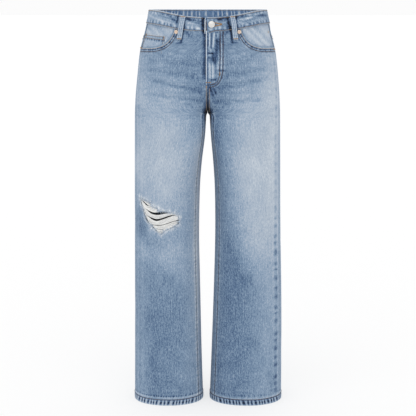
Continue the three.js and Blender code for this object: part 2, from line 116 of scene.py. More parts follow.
def on_form(side, degrees, z, out=0.0):
    """Points of the garment from side, turn round its half, height and distance out of the face."""
    side, degrees, z, out = np.broadcast_arrays(*(np.asarray(a, float) for a in (side, degrees, z, out)))
    turn = np.radians(degrees)
    outer = np.where(side < 0, along(OUTER[RIGHT], z), along(OUTER[LEFT], z)) + out
    inner = np.where(side < 0, along(INNER[RIGHT], z), along(INNER[LEFT], z)) - out
    inner = np.where(z > CROTCH - out, HALF_GAP, inner)
    front = along(FRONT_DEPTH, z) + out
    back = along(BACK_DEPTH, z) + out
    fold = folds(turn, z)
    sine, half, cosine = np.sin(turn), np.cos(turn / 2), np.cos(turn)
    power = np.where(cosine > 0, mix(LEG_POWER, FLAT_POWER, smooth(-470, CROTCH, z)), LEG_POWER)
    leg_x = (outer + inner) / 2 - (outer - inner) / 2 * signed_power(cosine, power)
    leg_y = -(np.where(sine > 0, front, back) + fold) * signed_power(sine, power)
    hip_x = HALF_GAP + (outer - HALF_GAP) * signed_power(np.sin(turn / 2), HIP_POWER)
    hip_y = -(np.where(half > 0, front, back) + fold) * signed_power(half, HIP_POWER)
    fork = mix(*FORK, smooth(110, 250, degrees))
    rise = np.clip((z - CROTCH + out) / (fork + out), 0, 1)
    ease = np.clip((z - CROTCH + 70) / (fork + 70), 0, 1)
    edge = smooth(0.5, 0.95, np.abs(turn - math.pi) / math.pi)
    weight = mix(ease * ease * (3 - 2 * ease), np.sqrt(1 - (1 - rise) ** 2), edge)
    return np.stack([side * mix(leg_x, hip_x, weight), mix(leg_y, hip_y, weight), z], axis=-1)


def streak(x, z, start, end, reach):
    """Strength, from 0 to 1, of a soft straight band between two places seen from the front or back."""
    (x0, z0), (x1, z1) = start, end
    length = math.hypot(x1 - x0, z1 - z0)
    ux, uz = (x1 - x0) / length, (z1 - z0) / length
    beyond = np.abs((x - x0) * ux + (z - z0) * uz - length / 2) - length / 2 + reach
    aside = (x - x0) * uz - (z - z0) * ux
    return np.exp(-(aside / reach) ** 2 - (np.maximum(0, beyond) / (2.2 * reach)) ** 2)


def streaks(x, z, bands):
    """Sum of soft bands, each given as its start, end, reach and strength."""
    return sum(strength * streak(x, z, start, end, reach) for start, end, reach, strength in bands)


# Whiskers worn in at the hips: start, end, reach and how much darker the cloth is there.
WHISKERS = [
    ((-150, -126), (-36, -134), 6, 0.03), ((-150, -150), (-30, -166), 5, 0.075),
    ((-146, -176), (-14, -203), 5, 0.085), ((-140, -212), (-12, -227), 3.8, 0.08),
    ((48, -133), (140, -121), 6, 0.03), ((42, -164), (146, -148), 6, 0.065),
    ((30, -192), (150, -174), 6, 0.07), ((16, -230), (132, -225), 3.8, 0.095),
]
# Creases that stand or sink on the legs: start, end, reach and how far they rise.
FRONT_CREASES = [
    ((-30, -285), (-95, -345), 16, -1.6), ((34, -280), (90, -335), 15, -1.6),
    ((-45, -330), (-38, -520), 13, 1.2), ((40, -330), (48, -560), 14, 1.5),
    ((-176, -560), (-135, -640), 16, -2.2), ((-150, -600), (-60, -650), 16, -1.8),
    ((70, -560), (170, -600), 16, -1.5), ((60, -650), (150, -700), 20, 1.3),
    ((-170, -800), (-70, -860), 24, -1.3), ((80, -850), (175, -900), 26, -1.2),
    ((-60, -930), (-90, -1020), 16, 1.4), ((110, -940), (130, -1030), 16, 1.3),
]
# Those at the back are alike on both legs: start and end across and up, reach and rise.
BACK_CREASES = [
    ((side * x0, z0), (side * x1, z1), reach, rise)
    for x0, z0, x1, z1, reach, rise in (
        (20, -275, 150, -300, 13, -2.6), (30, -318, 140, -345, 12, 1.6), (60, -505, 170, -530, 9, -2.0),
        (50, -548, 165, -540, 8, 1.8), (60, -580, 170, -610, 10, -1.8), (100, -800, 150, -900, 20, -1.2))
    for side in (RIGHT, LEFT)
]
WHISKER_DEPTH = 14


def facing_front(y):
    return smooth(18, -18, y)


def relief(x, y, z):
    """How far soft creases lift the cloth off the plain form."""
    front = streaks(x, z, FRONT_CREASES) - WHISKER_DEPTH * streaks(x, z, WHISKERS)
    return mix(streaks(x, z, BACK_CREASES), front, facing_front(y))


def skin(side, degrees, z, out=0.0):
    plain = on_form(side, degrees, z)
    return on_form(side, degrees, z, relief(plain[..., 0], plain[..., 1], plain[..., 2]) + out)


def turn_at(x, z, back=False):
    """The turn whose point lies at x, seen from the front or, with back, from behind."""
    x, z = np.broadcast_arrays(np.asarray(x, float), np.asarray(z, float))
    side = np.where(x < 0, RIGHT, LEFT)
    low, high = np.zeros(x.shape), np.full(x.shape, 180.0)
    for _ in range(24):
        middle = (low + high) / 2
        reached = on_form(side, 360 - middle if back else middle, z)[..., 0] * side
        low = np.where(reached < np.abs(x), middle, low)
        high = np.where(reached < np.abs(x), high, middle)
    return side, 360 - low if back else low


def band_dip(degrees):
    return FRONT_DIP * np.maximum(0, np.cos(np.radians(degrees) / 2)) ** 4


def band_foot(degrees):
    return -BAND_HEIGHT - band_dip(degrees)


def walked(path):
    """Distance walked along a path to each of its points."""
    return np.concatenate([[0], np.cumsum(np.linalg.norm(np.diff(path, axis=0), axis=1))])


def spaced(values, position, wanted):
    """Rows of values kept at positions along a path, read at the wanted places."""
    return np.stack([np.interp(wanted, position, column) for column in values.T], axis=1)


def distance_to(points, path):
    """Distance of each point to a path, and how far along the path its nearest place is."""
    position = walked(path)
    flat = points.reshape(-1, 3)
    nearest = np.empty(len(flat), int)
    distance = np.empty(len(flat))
    for start in range(0, len(flat), 4000):
        part = flat[start:start + 4000]
        spread = np.linalg.norm(part[:, None] - path[None], axis=2)
        nearest[start:start + 4000] = spread.argmin(axis=1)
        distance[start:start + 4000] = spread.min(axis=1)
    return distance.reshape(points.shape[:-1]), position[nearest].reshape(points.shape[:-1])


def wavy(position, pitch, seed):
    """Irregular run of highs and lows, from -1 to 1, about one pitch apart."""
    phase = 2 * math.pi * position / pitch
    return np.sin(phase + 1.1 * np.sin(0.37 * phase + seed) + 0.8 * np.sin(0.23 * phase + 2 * seed))


def linear(hex_colour):
    """sRGB hex colour as linear red, green and blue with full alpha."""
    channels = [int(hex_colour[i:i + 2], 16) / 255 for i in (1, 3, 5)]
    return [c / 12.92 if c <= 0.04045 else ((c + 0.055) / 1.055) ** 2.4 for c in channels] + [1]


def node(tree, kind, settings=None, **links):
    """Adds one node; settings set its properties, links its sockets, from a value or another socket."""
    made = tree.nodes.new(kind)
    for key, value in (settings or {}).items():
        setattr(made, key, value)
    for key, value in links.items():
        socket = made.inputs[int(key[1:])] if key[1:].isdigit() else made.inputs[key.replace("_", " ")]
        if isinstance(value, bpy.types.NodeSocket):
            tree.links.new(value, socket)
        else:
            socket.default_value = value
    return made


def new_material(name):
    material = bpy.data.materials.new(name)
    material.use_nodes = True
    return material, material.node_tree, material.node_tree.nodes["Principled BSDF"]


# Indigo denim from unwashed to worn white; each tone is the lightness the eye gets from the colour.
DENIM_TONES = [(0.10, "#141f2e"), (0.25, "#2c405f"), (0.38, "#4b6485"), (0.46, "#637a94"), (0.53, "#748ba4"),
               (0.62, "#8c9fb5"), (0.72, "#aab6c4"), (0.80, "#c0c9d2"), (0.92, "#e3e6e9")]
# What shows of the yarns, as millimetres across and along the warp, detail, roughness and how far the tone
# swings either way: slubs, specks, clouds and streaks of uneven warp. The finest are drawn some three times
# as coarse as the real yarns, so that they show.
GRAIN = [(2.7, 7.5, 3, 0.6, 0.115), (2.6, 2.6, 3, 0.7, 0.115), (34, 34, 4, 0.55, 0.035),
         (2.8, 45, 2, 0.6, 0.06)]
SPECKS = 1
# Small crumples set in by washing lie across the cloth.
CRUMPLE = (30, 7, 2, 0.55, 0.05)
# The twill's lines lie 3 mm apart, coarser than real ones; a wave texture repeats each tenth of pi.
TWILL = 3
TWILL_SLOPE = math.radians(27)
TWILL_SWING = 0.015
WAVE_REPEAT = math.pi / 10


def denim(name, tones=DENIM_TONES, grain=1.0):
    """Washed cotton twill: blue warp worn off its high points, so it is flecked along the grain, matt and
    a little fuzzy. The piece's tone attribute says how worn it is and holds its painted shade; the grain
    reads its own UV in metres."""
    material, tree, shader = new_material(name)
    tone = node(tree, "ShaderNodeAttribute", {"attribute_name": "tone"}).outputs["Fac"]
    crumpled = node(tree, "ShaderNodeAttribute", {"attribute_name": "crumpled"}).outputs["Fac"]
    place = node(tree, "ShaderNodeUVMap", {"uv_map": "Cloth"}).outputs[0]
    turned = node(tree, "ShaderNodeMapping", Vector=place, Rotation=(0, 0, TWILL_SLOPE))
    twill = node(tree, "ShaderNodeTexWave", {"bands_direction": "X"}, Vector=turned.outputs[0],
                 Scale=1000 * WAVE_REPEAT / TWILL, Distortion=1.2, Detail=1, Detail_Scale=1.5).outputs["Fac"]
    spread = node(tree, "ShaderNodeMapRange", _0=twill, _3=-TWILL_SWING, _4=TWILL_SWING).outputs[0]
    patterns = []
    for across, upright, detail, roughness, swing in GRAIN + [CRUMPLE]:
        sized = node(tree, "ShaderNodeMapping", Vector=place, Scale=(1000 / across, 1000 / upright, 1))
        pattern = node(tree, "ShaderNodeTexNoise", Vector=sized.outputs[0], Scale=1, Detail=detail,
                       Roughness=roughness).outputs[0]
        change = node(tree, "ShaderNodeMapRange", _0=pattern, _1=0.25, _2=0.75, _3=-swing, _4=swing)
        share = crumpled if len(patterns) == len(GRAIN) else 1
        spread = node(tree, "ShaderNodeMath", {"operation": "MULTIPLY_ADD"}, _0=change.outputs[0], _1=share,
                      _2=spread).outputs[0]
        patterns.append(pattern)
    contrast = node(tree, "ShaderNodeMapRange", _0=tone, _1=0.45, _2=0.72, _3=1.25 * grain, _4=0.62 * grain)
    worn = node(tree, "ShaderNodeMath", {"operation": "MULTIPLY_ADD"}, _0=spread, _1=contrast.outputs[0],
                _2=tone)
    ramp = node(tree, "ShaderNodeValToRGB", Fac=worn.outputs[0])
    stops = ramp.color_ramp.elements
    for at, colour in tones[1:-1]:
        stops.new(at)
    for stop, (at, colour) in zip(sorted(stops, key=lambda s: s.position), tones):
        stop.position = at
        stop.color = linear(colour)
    tree.links.new(ramp.outputs[0], shader.inputs["Base Color"])
    height = node(tree, "ShaderNodeMath", {"operation": "MULTIPLY_ADD"}, _0=twill, _1=0.5,
                  _2=patterns[SPECKS])
    bumped = node(tree, "ShaderNodeBump", Height=height.outputs[0], Strength=0.35, Distance=0.0004)
    tree.links.new(bumped.outputs[0], shader.inputs["Normal"])
    shader.inputs["Roughness"].default_value = 0.92
    shader.inputs["Sheen Weight"].default_value = 0.12
    shader.inputs["Sheen Roughness"].default_value = 0.5
    shader.inputs["Specular IOR Level"].default_value = 0.25
    return material


washed_denim = denim("washed_indigo_denim")
INSIDE_TONES = [(0, "#46525f"), (0.5, "#707c8a"), (1, "#a4adb6")]
denim_wrong_side = denim("denim_wrong_side", INSIDE_TONES, grain=2)
DENIM_SIDES = [washed_denim, denim_wrong_side]


def grid_faces(rows, columns, closed=False):
    """Quads of a grid of rows by columns of points; closed joins the last row to the first."""
    index = np.arange(rows * columns).reshape(rows, columns)
    if closed:
        index = np.vstack([index, index[:1]])
    return np.stack([index[:-1, :-1], index[1:, :-1], index[1:, 1:], index[:-1, 1:]], axis=-1).reshape(-1, 4)


def grid_lengths(points):
    """UV in metres for a flat cut: distance along the rows, and height, so that the grain runs upright."""
    across = np.zeros(points.shape[:2])
    across[:, 1:] = np.cumsum(np.linalg.norm(np.diff(points, axis=1), axis=2), axis=1)
    across -= across[:, -1:] / 2
    return np.stack([across, points[..., 2]], axis=-1) / 1000


def mesh_piece(name, points, faces, tone, uv, materials):
    """Makes one mesh in metres from points in millimetres, with its tone and its UV called Cloth."""
    mesh = bpy.data.meshes.new(name)
    mesh.from_pydata((points.reshape(-1, 3) / 1000).tolist(), [], [list(map(int, face)) for face in faces])
    mesh.attributes.new("tone", "FLOAT", "POINT").data.foreach_set("value", np.ravel(tone).astype(np.float32))
    layer = mesh.uv_layers.new(name="Cloth")
    corners = np.empty(len(mesh.loops), np.int32)
    mesh.loops.foreach_get("vertex_index", corners)
    layer.data.foreach_set("uv", uv.reshape(-1, 2)[corners].astype(np.float32).ravel())
    mesh.polygons.foreach_set("use_smooth", [True] * len(mesh.polygons))
    for material in materials:
        mesh.materials.append(material)
    piece = bpy.data.objects.new(name, mesh)
    bpy.context.scene.collection.objects.link(piece)
    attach(piece, "root")
    return piece


def face_outwards(piece, points, faces, outer):
    """Flips the mesh when its first faces look against the direction from points to outer."""
    a, b, c = (points.reshape(-1, 3)[faces[:, k]] for k in (0, 1, 2))
    outward = (outer - points).reshape(-1, 3)[faces[:, 0]]
    if np.sum(np.cross(b - a, c - a) * outward) < 0:
        piece.data.flip_normals()


def solidify(piece, thickness):
    wall = piece.modifiers.new("cloth", "SOLIDIFY")
    wall.thickness = thickness / 1000
    wall.offset = -1
    wall.material_offset = len(piece.data.materials) - 1
    wall.use_even_offset = False


def cloth(name, side, degrees, heights, out, tone, thickness=DENIM_WALL, keep=None):
    """One cut of cloth on the form from grids of turns and heights. keep says which faces stay."""
    points = skin(side, degrees, heights, out)
    faces = grid_faces(*points.shape[:2])
    shade = tone(points)
    if keep is not None:
        points, faces = keep(points, faces)
    piece = mesh_piece(name, points, faces, shade, grid_lengths(points), DENIM_SIDES)
    face_outwards(piece, points, faces, skin(side, degrees, heights, np.asarray(out) + 1))
    solidify(piece, thickness)
    return piece


def spots(x, z, patches):
    """Sum of soft oval patches, each given as its centre, reach and strength."""
    return sum(strength * bump(x, centre[0], reach[0]) * bump(z, centre[1], reach[1])
               for centre, reach, strength in patches)


# The wash, with painted shade by the fly, at the crotch, along the inner edges of the legs and down their
# outer
# edges: soft ovals of wear and shade as centre, reach and how much paler or darker they are.
FRONT_WASH_AND_SHADE = [
    ((-112, -365), (92, 150), 0.17), ((118, -375), (80, 175), 0.175), ((-110, -530), (62, 90), 0.05),
    ((124, -592), (52, 95), 0.13), ((-160, -190), (28, 75), 0.08), ((160, -175), (30, 75), 0.10),
    ((-120, -225), (62, 34), 0.04), ((110, -235), (60, 30), 0.04), ((-90, -170), (60, 40), 0.02),
    ((-168, -548), (20, 50), -0.07), ((-170, -400), (14, 160), 0.03), ((168, -400), (18, 190), 0.07),
    ((36, -430), (26, 190), -0.11), ((-30, -440), (18, 150), -0.01), ((-35, -600), (16, 140), 0.07),
    ((-22, -500), (7, 120), 0.06), ((66, -640), (22, 80), -0.09), ((160, -850), (30, 210), 0.05),
    ((-176, -820), (10, 240), 0.02), ((66, -820), (50, 220), -0.075), ((-120, -840), (66, 210), -0.055),
    ((-36, -850), (14, 200), 0.05), ((-28, -205), (34, 60), -0.07), ((30, -205), (32, 60), -0.07),
    ((-20, -110), (12, 70), -0.05), ((-186, -400), (5, 400), -0.04), ((190, -400), (5, 400), -0.04),
    ((50, -90), (14, 26), -0.05), ((-28, -700), (9, 300), 0.12), ((-112, -628), (60, 36), 0.115),
    ((-166, -600), (22, 34), 0.05), ((104, -690), (28, 60), -0.075), ((50, -780), (14, 90), -0.04),
    ((178, -480), (12, 300), 0.03), ((165, -450), (24, 260), 0.03), ((-148, -200), (18, 55), -0.06),
    ((23, -330), (11, 62), -0.11), ((26, -960), (14, 110), -0.06), ((-144, -950), (14, 110), -0.045),
    ((-110, -1000), (70, 50), -0.03), ((84, -960), (70, 90), -0.03), ((150, -122), (26, 14), 0.04),
    ((-26, -298), (14, 24), -0.045), ((20, -300), (8, 26), -0.05), ((-95, -300), (34, 30), 0.03),
    ((-38, -470), (15, 150), -0.035), ((-190, -395), (14, 34), 0.07), ((178, -400), (14, 60), -0.05),
    ((-34, -900), (8, 150), -0.05), ((-175, -270), (14, 30), -0.03), ((-176, -960), (14, 60), 0.03),
    ((-60, -135), (40, 16), -0.04), ((174, -980), (12, 60), -0.04), ((-32, -400), (10, 60), 0.03),
    ((120, -400), (26, 30), 0.02), ((-78, -672), (26, 40), 0.06), ((-150, -560), (12, 26), 0.08),
    ((-110, -440), (60, 60), 0.02), ((178, -450), (10, 140), -0.02), ((120, -430), (40, 60), 0.02),
    ((110, -290), (60, 30), 0.02), ((0, -262), (7, 22), -0.22),
]
BACK_WASH = [
    ((side * x, z), reach, change)
    for x, z, reach, change in (
        (90, -215, (70, 95), 0.13), (105, -420, (70, 110), 0.08), (110, -560, (60, 60), 0.05),
        (30, -420, (22, 150), -0.05), (105, -980, (90, 60), 0.04))
    for side in (RIGHT, LEFT)
]
BASE_TONE = 0.54
# How much paler the cloth is worn for each millimetre that a crease stands up.
FRONT_RIDGE_WEAR = 0.012
BACK_RIDGE_WEAR = 0.025


def wear_and_shade(points):
    """How worn the denim is at points of the garment; on the front it also holds painted shade."""
    x, y, z = points[..., 0], points[..., 1], points[..., 2]
    front = spots(x, z, FRONT_WASH_AND_SHADE) - streaks(x, z, WHISKERS)
    front += FRONT_RIDGE_WEAR * streaks(x, z, FRONT_CREASES)
    back = spots(x, z, BACK_WASH) + BACK_RIDGE_WEAR * streaks(x, z, BACK_CREASES)
    return BASE_TONE + mix(back, front, facing_front(y))


# The pocket opening, from the band to the outseam.
OPENING = [(55, -49), (57, -61), (60, -69.5), (65.5, -80), (75, -88.5), (90, -94), (106, -95.8),
           (123, -96.2), (140, -96.4), (OUTSEAM, -96.5)]
OPENING_START = -112
SCOOP_ROWS = 40


def curve_through(places, count):
    """Evenly spaced points on a smooth curve through places of any dimension."""
    places = np.asarray(places, float)
    ends = np.vstack([2 * places[0] - places[1], places, 2 * places[-1] - places[-2]])
    fine = []
    for p0, p1, p2, p3 in zip(ends, ends[1:], ends[2:], ends[3:]):
        u = np.linspace(0, 1, 24, endpoint=False)[:, None]
        fine.append(0.5 * (2 * p1 + (p2 - p0) * u + (2 * p0 - 5 * p1 + 4 * p2 - p3) * u**2
                           + (3 * p1 - p0 - 3 * p2 + p3) * u**3))
    fine = np.vstack(fine + [places[-1:]])
    position = walked(fine)
    return spaced(fine, position, np.linspace(0, position[-1], count))


def heights_between(spans):
    """Heights down a panel from spans of (top, foot, step)."""
    runs = [np.linspace(top, foot, round((top - foot) / step), endpoint=False) for top, foot, step in spans]
    return np.concatenate(runs + [[spans[-1][1]]])


INSEAM_TURN = 14
WORN_LINE = 150
INSEAM_ROW = [(HEM, 29.5), (-400, 29.5), (-376, 31), (-326, 33), (CROTCH, 34.5)]
HEM_SEAM = HEM + 14
LAP = {RIGHT: 0.2, LEFT: -1.6}
FLY_FOOT = -192


def inseam(z):
    return INSEAM_TURN * smooth(60, 220, CROTCH - z)


def front_grid(side, spans, columns):
    """Turns and heights of a front: the rows at the top end on the scooped pocket opening."""
    ends = curve_through(OPENING, SCOOP_ROWS)
    rows = heights_between(spans)
    v = np.linspace(0, 1, SCOOP_ROWS)[:, None]
    start = LAP[side]
    turns = mix(start, ends[:, :1], columns)
    top = band_foot(turns) + 2.5
    straight = mix(band_foot(0) + 2.5, band_foot(OPENING[0][0]) + 2.5, columns)
    scoop = mix(mix(band_foot(0) + 2.5, OPENING_START, v), ends[:, 1:], columns) + (top - straight) * (1 - v)
    low_start = np.where(rows > CROTCH, LAP[side] * smooth(FLY_FOOT - 16, FLY_FOOT, rows), inseam(rows))
    low = mix(low_start[:, None], OUTSEAM, columns)
    return np.vstack([turns, low]), np.vstack([scoop, np.repeat(rows[:, None], columns.shape[1], axis=1)])


SEAM_HEIGHTS = np.linspace(-100, HEM_SEAM, 600)
INSEAM_HEIGHTS = np.linspace(CROTCH, HEM_SEAM, 500)


def seam_wear(points, side):
    """Wear over the long seams: pale lines where the allowance lies under the front, with dark puckers."""
    allowance, s = distance_to(points, skin(side, WORN_LINE, SEAM_HEIGHTS))
    front_side = facing_front(points[..., 1])
    inward = points[..., 0] * side < skin(side, WORN_LINE, points[..., 2])[..., 0] * side
    blots = np.maximum(0, wavy(s, 24, 1.3)) ** 0.7 * bump(allowance, 9, 8) * inward
    strength = mix(0.35, 1, smooth(-450, -640, points[..., 2])) if side == LEFT else 0.12
    ridge = 0.11 * bump(allowance, 0, 3.2) + 0.05 * bump(allowance, 19.5, 4) * inward
    change = front_side * (mix(0.5, 1, strength) * ridge - 0.22 * strength * blots)
    side_seam, s = distance_to(points, skin(side, OUTSEAM, SEAM_HEIGHTS))
    change += (1 - front_side) * (0.05 * bump(side_seam, 5, 4) - 0.04 * bump(side_seam, 1, 1.8))
    stitch_turn = np.interp(INSEAM_HEIGHTS[::-1], *zip(*INSEAM_ROW))[::-1]
    inner, s = distance_to(points, skin(side, stitch_turn, INSEAM_HEIGHTS))
    change += -0.22 * bump(inner, 0, 2.2) * (1 + 0.7 * wavy(s, 6.5, 0.9))
    change += 0.11 * bump(inner, 4.6, 2.4) * (1 + 0.8 * wavy(s, 9, 0.4))
    above_hem = points[..., 2] - HEM
    round_leg = np.arctan2(points[..., 1], np.abs(points[..., 0]) - 105) * 89
    puckers = np.maximum(0, wavy(round_leg, 7.5, 1))
    change += 0.26 * bump(above_hem, 20.5, 2.2) - 0.34 * bump(above_hem, 26, 2.4) * puckers
    return change


# The rip over the wearer's right knee: a ragged sagging hole whose weft threads still cross it.
RIP = [(-177.5, -480), (-161.7, -485), (-148.5, -491), (-145.5, -498), (-129.5, -505), (-126, -513),
       (-104, -513), (-82, -520.5), (-75, -528), (-72.5, -545), (-80.5, -551.5), (-97, -559),
       (-112.5, -566), (-121, -575.5), (-132, -566.5), (-152.5, -547.5), (-159.5, -543), (-163.5, -530.5),
       (-167.5, -517), (-171.5, -503), (-174.5, -493.5)]


def on_front(places, out=0.0):
    """Points of the front from places across and up, as seen from straight ahead."""
    places = np.asarray(places, float)
    side, degrees = turn_at(places[..., 0], places[..., 1])
    return skin(side, degrees, places[..., 1], out)


def closed_line(places, count):
    corners = np.asarray(list(places) + [places[0]], float)
    position = walked(corners)
    return spaced(corners, position, np.linspace(0, position[-1], count, endpoint=False))


rip_line = closed_line(RIP, 420)
ragged = np.random.default_rng(7).normal(0, 0.55, rip_line.shape)
rip_line += (ragged + np.roll(ragged, 1, axis=0)) * 0.7
rip_path = on_front(rip_line)


def inside_rip(x, z):
    inside = np.zeros(x.shape, bool)
    for (x0, z0), (x1, z1) in zip(rip_line, np.roll(rip_line, -1, axis=0)):
        crosses = (z0 > z) != (z1 > z)
        reach = (x1 - x0) * (z - z0) / (z1 - z0 if z1 != z0 else 1) + x0
        inside ^= crosses & (x < reach)
    return inside


def open_rip(points, faces):
    """Cuts the rip out of the right front and draws the cut's edge onto the ragged line."""
    flat = points.reshape(-1, 3).copy()
    centres = flat[faces].mean(axis=1)
    gone = inside_rip(centres[:, 0], centres[:, 2]) & (centres[:, 1] < 0)
    rim = np.intersect1d(faces[gone], faces[~gone])
    spread = np.hypot(flat[rim, 0][:, None] - rip_line[:, 0], flat[rim, 2][:, None] - rip_line[:, 1])
    flat[rim] = rip_path[spread.argmin(axis=1)]
    return flat.reshape(points.shape), faces[~gone]


def drop_loose(piece):
    """Removes the vertices that no face uses."""
    work = bmesh.new()
    work.from_mesh(piece.data)
    bmesh.ops.delete(work, geom=[v for v in work.verts if not v.link_faces], context="VERTS")
    work.to_mesh(piece.data)
    work.free()


RIP_SHADOWS = [((-172, -545), (17, 45), -0.07), ((-140, -592), (28, 26), -0.05)]


def right_front_tone(points):
    x, z = points[..., 0], points[..., 2]
    edge, s = distance_to(points, rip_path)
    tufts = bump(edge, 3.4, 4.4) * (0.04 + 0.12 * wavy(s, 6.5, 2))
    frayed = 0.18 * bump(edge, 0, 3) + tufts + 0.03 * bump(edge, 0, 12)
    shadow = spots(x, z, RIP_SHADOWS)
    # Painted shade on the right front under the lapped fly and at the top of the crotch.
    fly_lap_shade = -0.32 * bump(x, -7, 5) * smooth(-190, -150, z) - 0.34 * bump(x, -7, 5) * bump(z, -262, 26)
    return wear_and_shade(points) + seam_wear(points, RIGHT) + frayed + shadow + fly_lap_shade + loop_and_lap_shadows(points)


# Wear and shadow worked into the fly: start, end, reach and how much paler or darker.
FLY_PUCKERS = [
    ((-0.6, -58), (-0.6, -178), 1.3, -0.36), ((4.8, -60), (4.6, -90), 1.6, 0.26),
    ((2.2, -60), (2.2, -88), 1.1, -0.20), ((9.4, -60), (8.6, -96), 1.7, -0.24),
    ((16.5, -58), (13.4, -92), 2.0, 0.26), ((12, -60), (12, -76), 1.2, -0.08),
    ((24.5, -60), (25, -70), 1.5, 0.20), ((23.5, -74), (20.5, -128), 4.6, -0.30),
    ((29.5, -74), (29.5, -96), 2.6, -0.20), ((20, -60), (21, -66), 1.6, -0.12),
    ((3.5, -96), (9, -100), 1.8, 0.14), ((7, -101), (8, -108), 1.7, 0.08),
    ((2, -108), (12, -108.5), 1.7, -0.32), ((3, -113), (10, -112), 1.5, 0.26),
    ((3, -120), (9, -119), 1.8, -0.12), ((13, -106), (14, -130), 4.2, -0.26),
    ((5, -134), (5.8, -170), 2.4, 0.24), ((12.6, -132), (12.6, -170), 3.0, 0.24),
    ((19.6, -134), (19.8, -158), 1.7, -0.12), ((25, -128), (25, -146), 2.6, 0.12),
    ((9, -134), (9, -170), 1.0, -0.10), ((28, -149), (44, -152), 2.0, -0.24),
    ((7, -174), (20, -173), 2.2, -0.32), ((4, -178), (9, -178), 2, -0.1),
    ((5, -188), (22, -184), 1.6, -0.18), ((1.5, -196), (1.5, -256), 1.5, -0.24),
    ((-1, -200), (-1, -250), 1.0, 0.04), ((7, -196), (13, -214), 2.6, -0.26),
    ((15, -195), (22, -210), 2.0, -0.22), ((8.5, -214), (8.5, -250), 1.3, 0.08),
    ((3, -102), (10, -128), 5, -0.10), ((-1, -184), (6, -197), 4.5, -0.22),
    ((14, -57), (26, -57), 1.8, -0.16), ((4, -57), (10, -57), 1.8, -0.14),
    ((34.6, -62), (34.6, -150), 1.3, 0.10), ((34, -66), (40, -92), 5, -0.14),
    ((3, -248), (4, -262), 5, -0.14), ((31, -96), (33, -120), 3.4, -0.08),
]
# Painted shadow beside and under the belt loops, under the band's foot and beside the lapped band's end.
LOOP_AND_LAP_SHADOWS = [
    ((-73, -13), (-78, -34), 2.4, -0.36), ((-57.5, -15), (-61, -47), 3.2, -0.40),
    ((-61, -46), (-66.5, -80), 2.6, -0.42), ((-79, -44), (-84, -76), 1.6, -0.20),
    ((50, -14), (55, -48), 3.4, -0.42), ((57, -44), (61.5, -80), 2.8, -0.42),
    ((71, -16), (74.5, -46), 1.8, -0.24), ((75, -48), (79, -76), 1.8, -0.22),
    ((-54, -58), (-46, -64), 5, -0.16), ((46, -57), (38, -60), 6, -0.18),
    ((-13, -19), (-12, -56), 3.2, -0.36), ((-52, -20), (-44, -24), 3.5, -0.16),
    ((42, -20), (30, -24), 3.5, -0.16), ((-66, -82), (-78, -84), 2, -0.20),
    ((62, -82), (74, -82), 2, -0.20),
]


# Painted shadow from the belt loops and the lapped band, on the front only.
def loop_and_lap_shadows(points):
    x, y, z = points[..., 0], points[..., 1], points[..., 2]
    return facing_front(y) * streaks(x, z, LOOP_AND_LAP_SHADOWS)


FLY_J_OUTER = [
    (38.5, -54), (38.5, -110), (38.2, -146), (36.5, -160), (33.5, -171), (26.4, -183), (15.4, -190),
    (6, -192),
]
FLY_J_INNER = [(31, -54), (31.2, -110), (30.2, -150), (29, -164), (26, -175.5), (19.7, -182), (6, -186)]


def left_front_tone(points):
    x, z = points[..., 0], points[..., 2]
    fly = smooth(FLY_FOOT - 4, FLY_FOOT + 4, z)
    folded_edge = fly * 0.34 * bump(x, -3.2, 1.5)
    puckers = streaks(x, z, FLY_PUCKERS)
    # Along each row of the J: painted shade in its stitch groove, with pale worn puckers beside it.
    sunk = 0
    for places in (FLY_J_OUTER, FLY_J_INNER):
        gap, s = distance_to(points, on_front(curve_through(places, 160)))
        sunk = sunk - 0.20 * bump(gap, 0, 1.6) + 0.07 * bump(gap, 3.4, 1.4) * (1 + 0.6 * wavy(s, 11, 2))
    # Painted shade at the top of the crotch.
    crotch = -0.30 * bump(x, 8, 4.5) * bump(z, -264, 22)
    return wear_and_shade(points) + seam_wear(points, LEFT) + folded_edge + puckers + sunk + crotch + loop_and_lap_shadows(points)


FLY_LIFT = 1.3
FLY_REACH = 30


def fly_lift(x, z):
    """How far the folded fly makes the left front stand up."""
    return FLY_LIFT * smooth(FLY_REACH, 0, x) * smooth(FLY_FOOT - 10, FLY_FOOT + 6, z)


# Rows lie close together at the crotch, where the two legs part.
ABOVE_CROTCH = CROTCH + 8
BELOW_CROTCH = CROTCH - 0.5
CROTCH_ROWS = [(ABOVE_CROTCH, CROTCH + 2, 1.5), (CROTCH + 2, CROTCH + 0.5, 0.5),
               (CROTCH + 0.5, BELOW_CROTCH, 0.125)]
front_columns = np.linspace(0, 1, 101)[None]
right_rows = [(-116, ABOVE_CROTCH, 4), *CROTCH_ROWS, (BELOW_CROTCH, -468, 4), (-468, -590, 2.4),
              (-590, HEM_SEAM, 4)]
turns, heights = front_grid(RIGHT, right_rows, front_columns)
front_right = cloth("front_right_denim", RIGHT, turns, heights, 0, right_front_tone, keep=open_rip)
drop_loose(front_right)
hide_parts("front_right")

front_columns = np.concatenate([np.linspace(0, 0.22, 58, endpoint=False), np.linspace(0.22, 1, 68)])[None]
left_rows = [(-113.5, -214, 1.6), (-214, ABOVE_CROTCH, 4.6), *CROTCH_ROWS, (BELOW_CROTCH, HEM_SEAM, 4.6)]
turns, heights = front_grid(LEFT, left_rows, front_columns)
lift = fly_lift(on_form(LEFT, turns, heights)[..., 0], heights)
front_left = cloth("front_left_denim", LEFT, turns, heights, lift, left_front_tone)
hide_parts("front_left")
# Only the hips are crumpled; the legs hang smooth.
for front in (front_right, front_left):
    heights = np.array([vertex.co.z for vertex in front.data.vertices]) * 1000
    crumpled = smooth(-330, -250, heights).astype(np.float32)
    front.data.attributes.new("crumpled", "FLOAT", "POINT").data.foreach_set("value", crumpled)


# The backs run from the yoke to the hem; their seat seam is sewn down flat with two rows.
YOKE_SIDE = 38
YOKE_CENTRE = 72


def yoke_foot(degrees):
    return band_foot(degrees) - mix(YOKE_SIDE, YOKE_CENTRE, (degrees - OUTSEAM) / (360 - OUTSEAM))


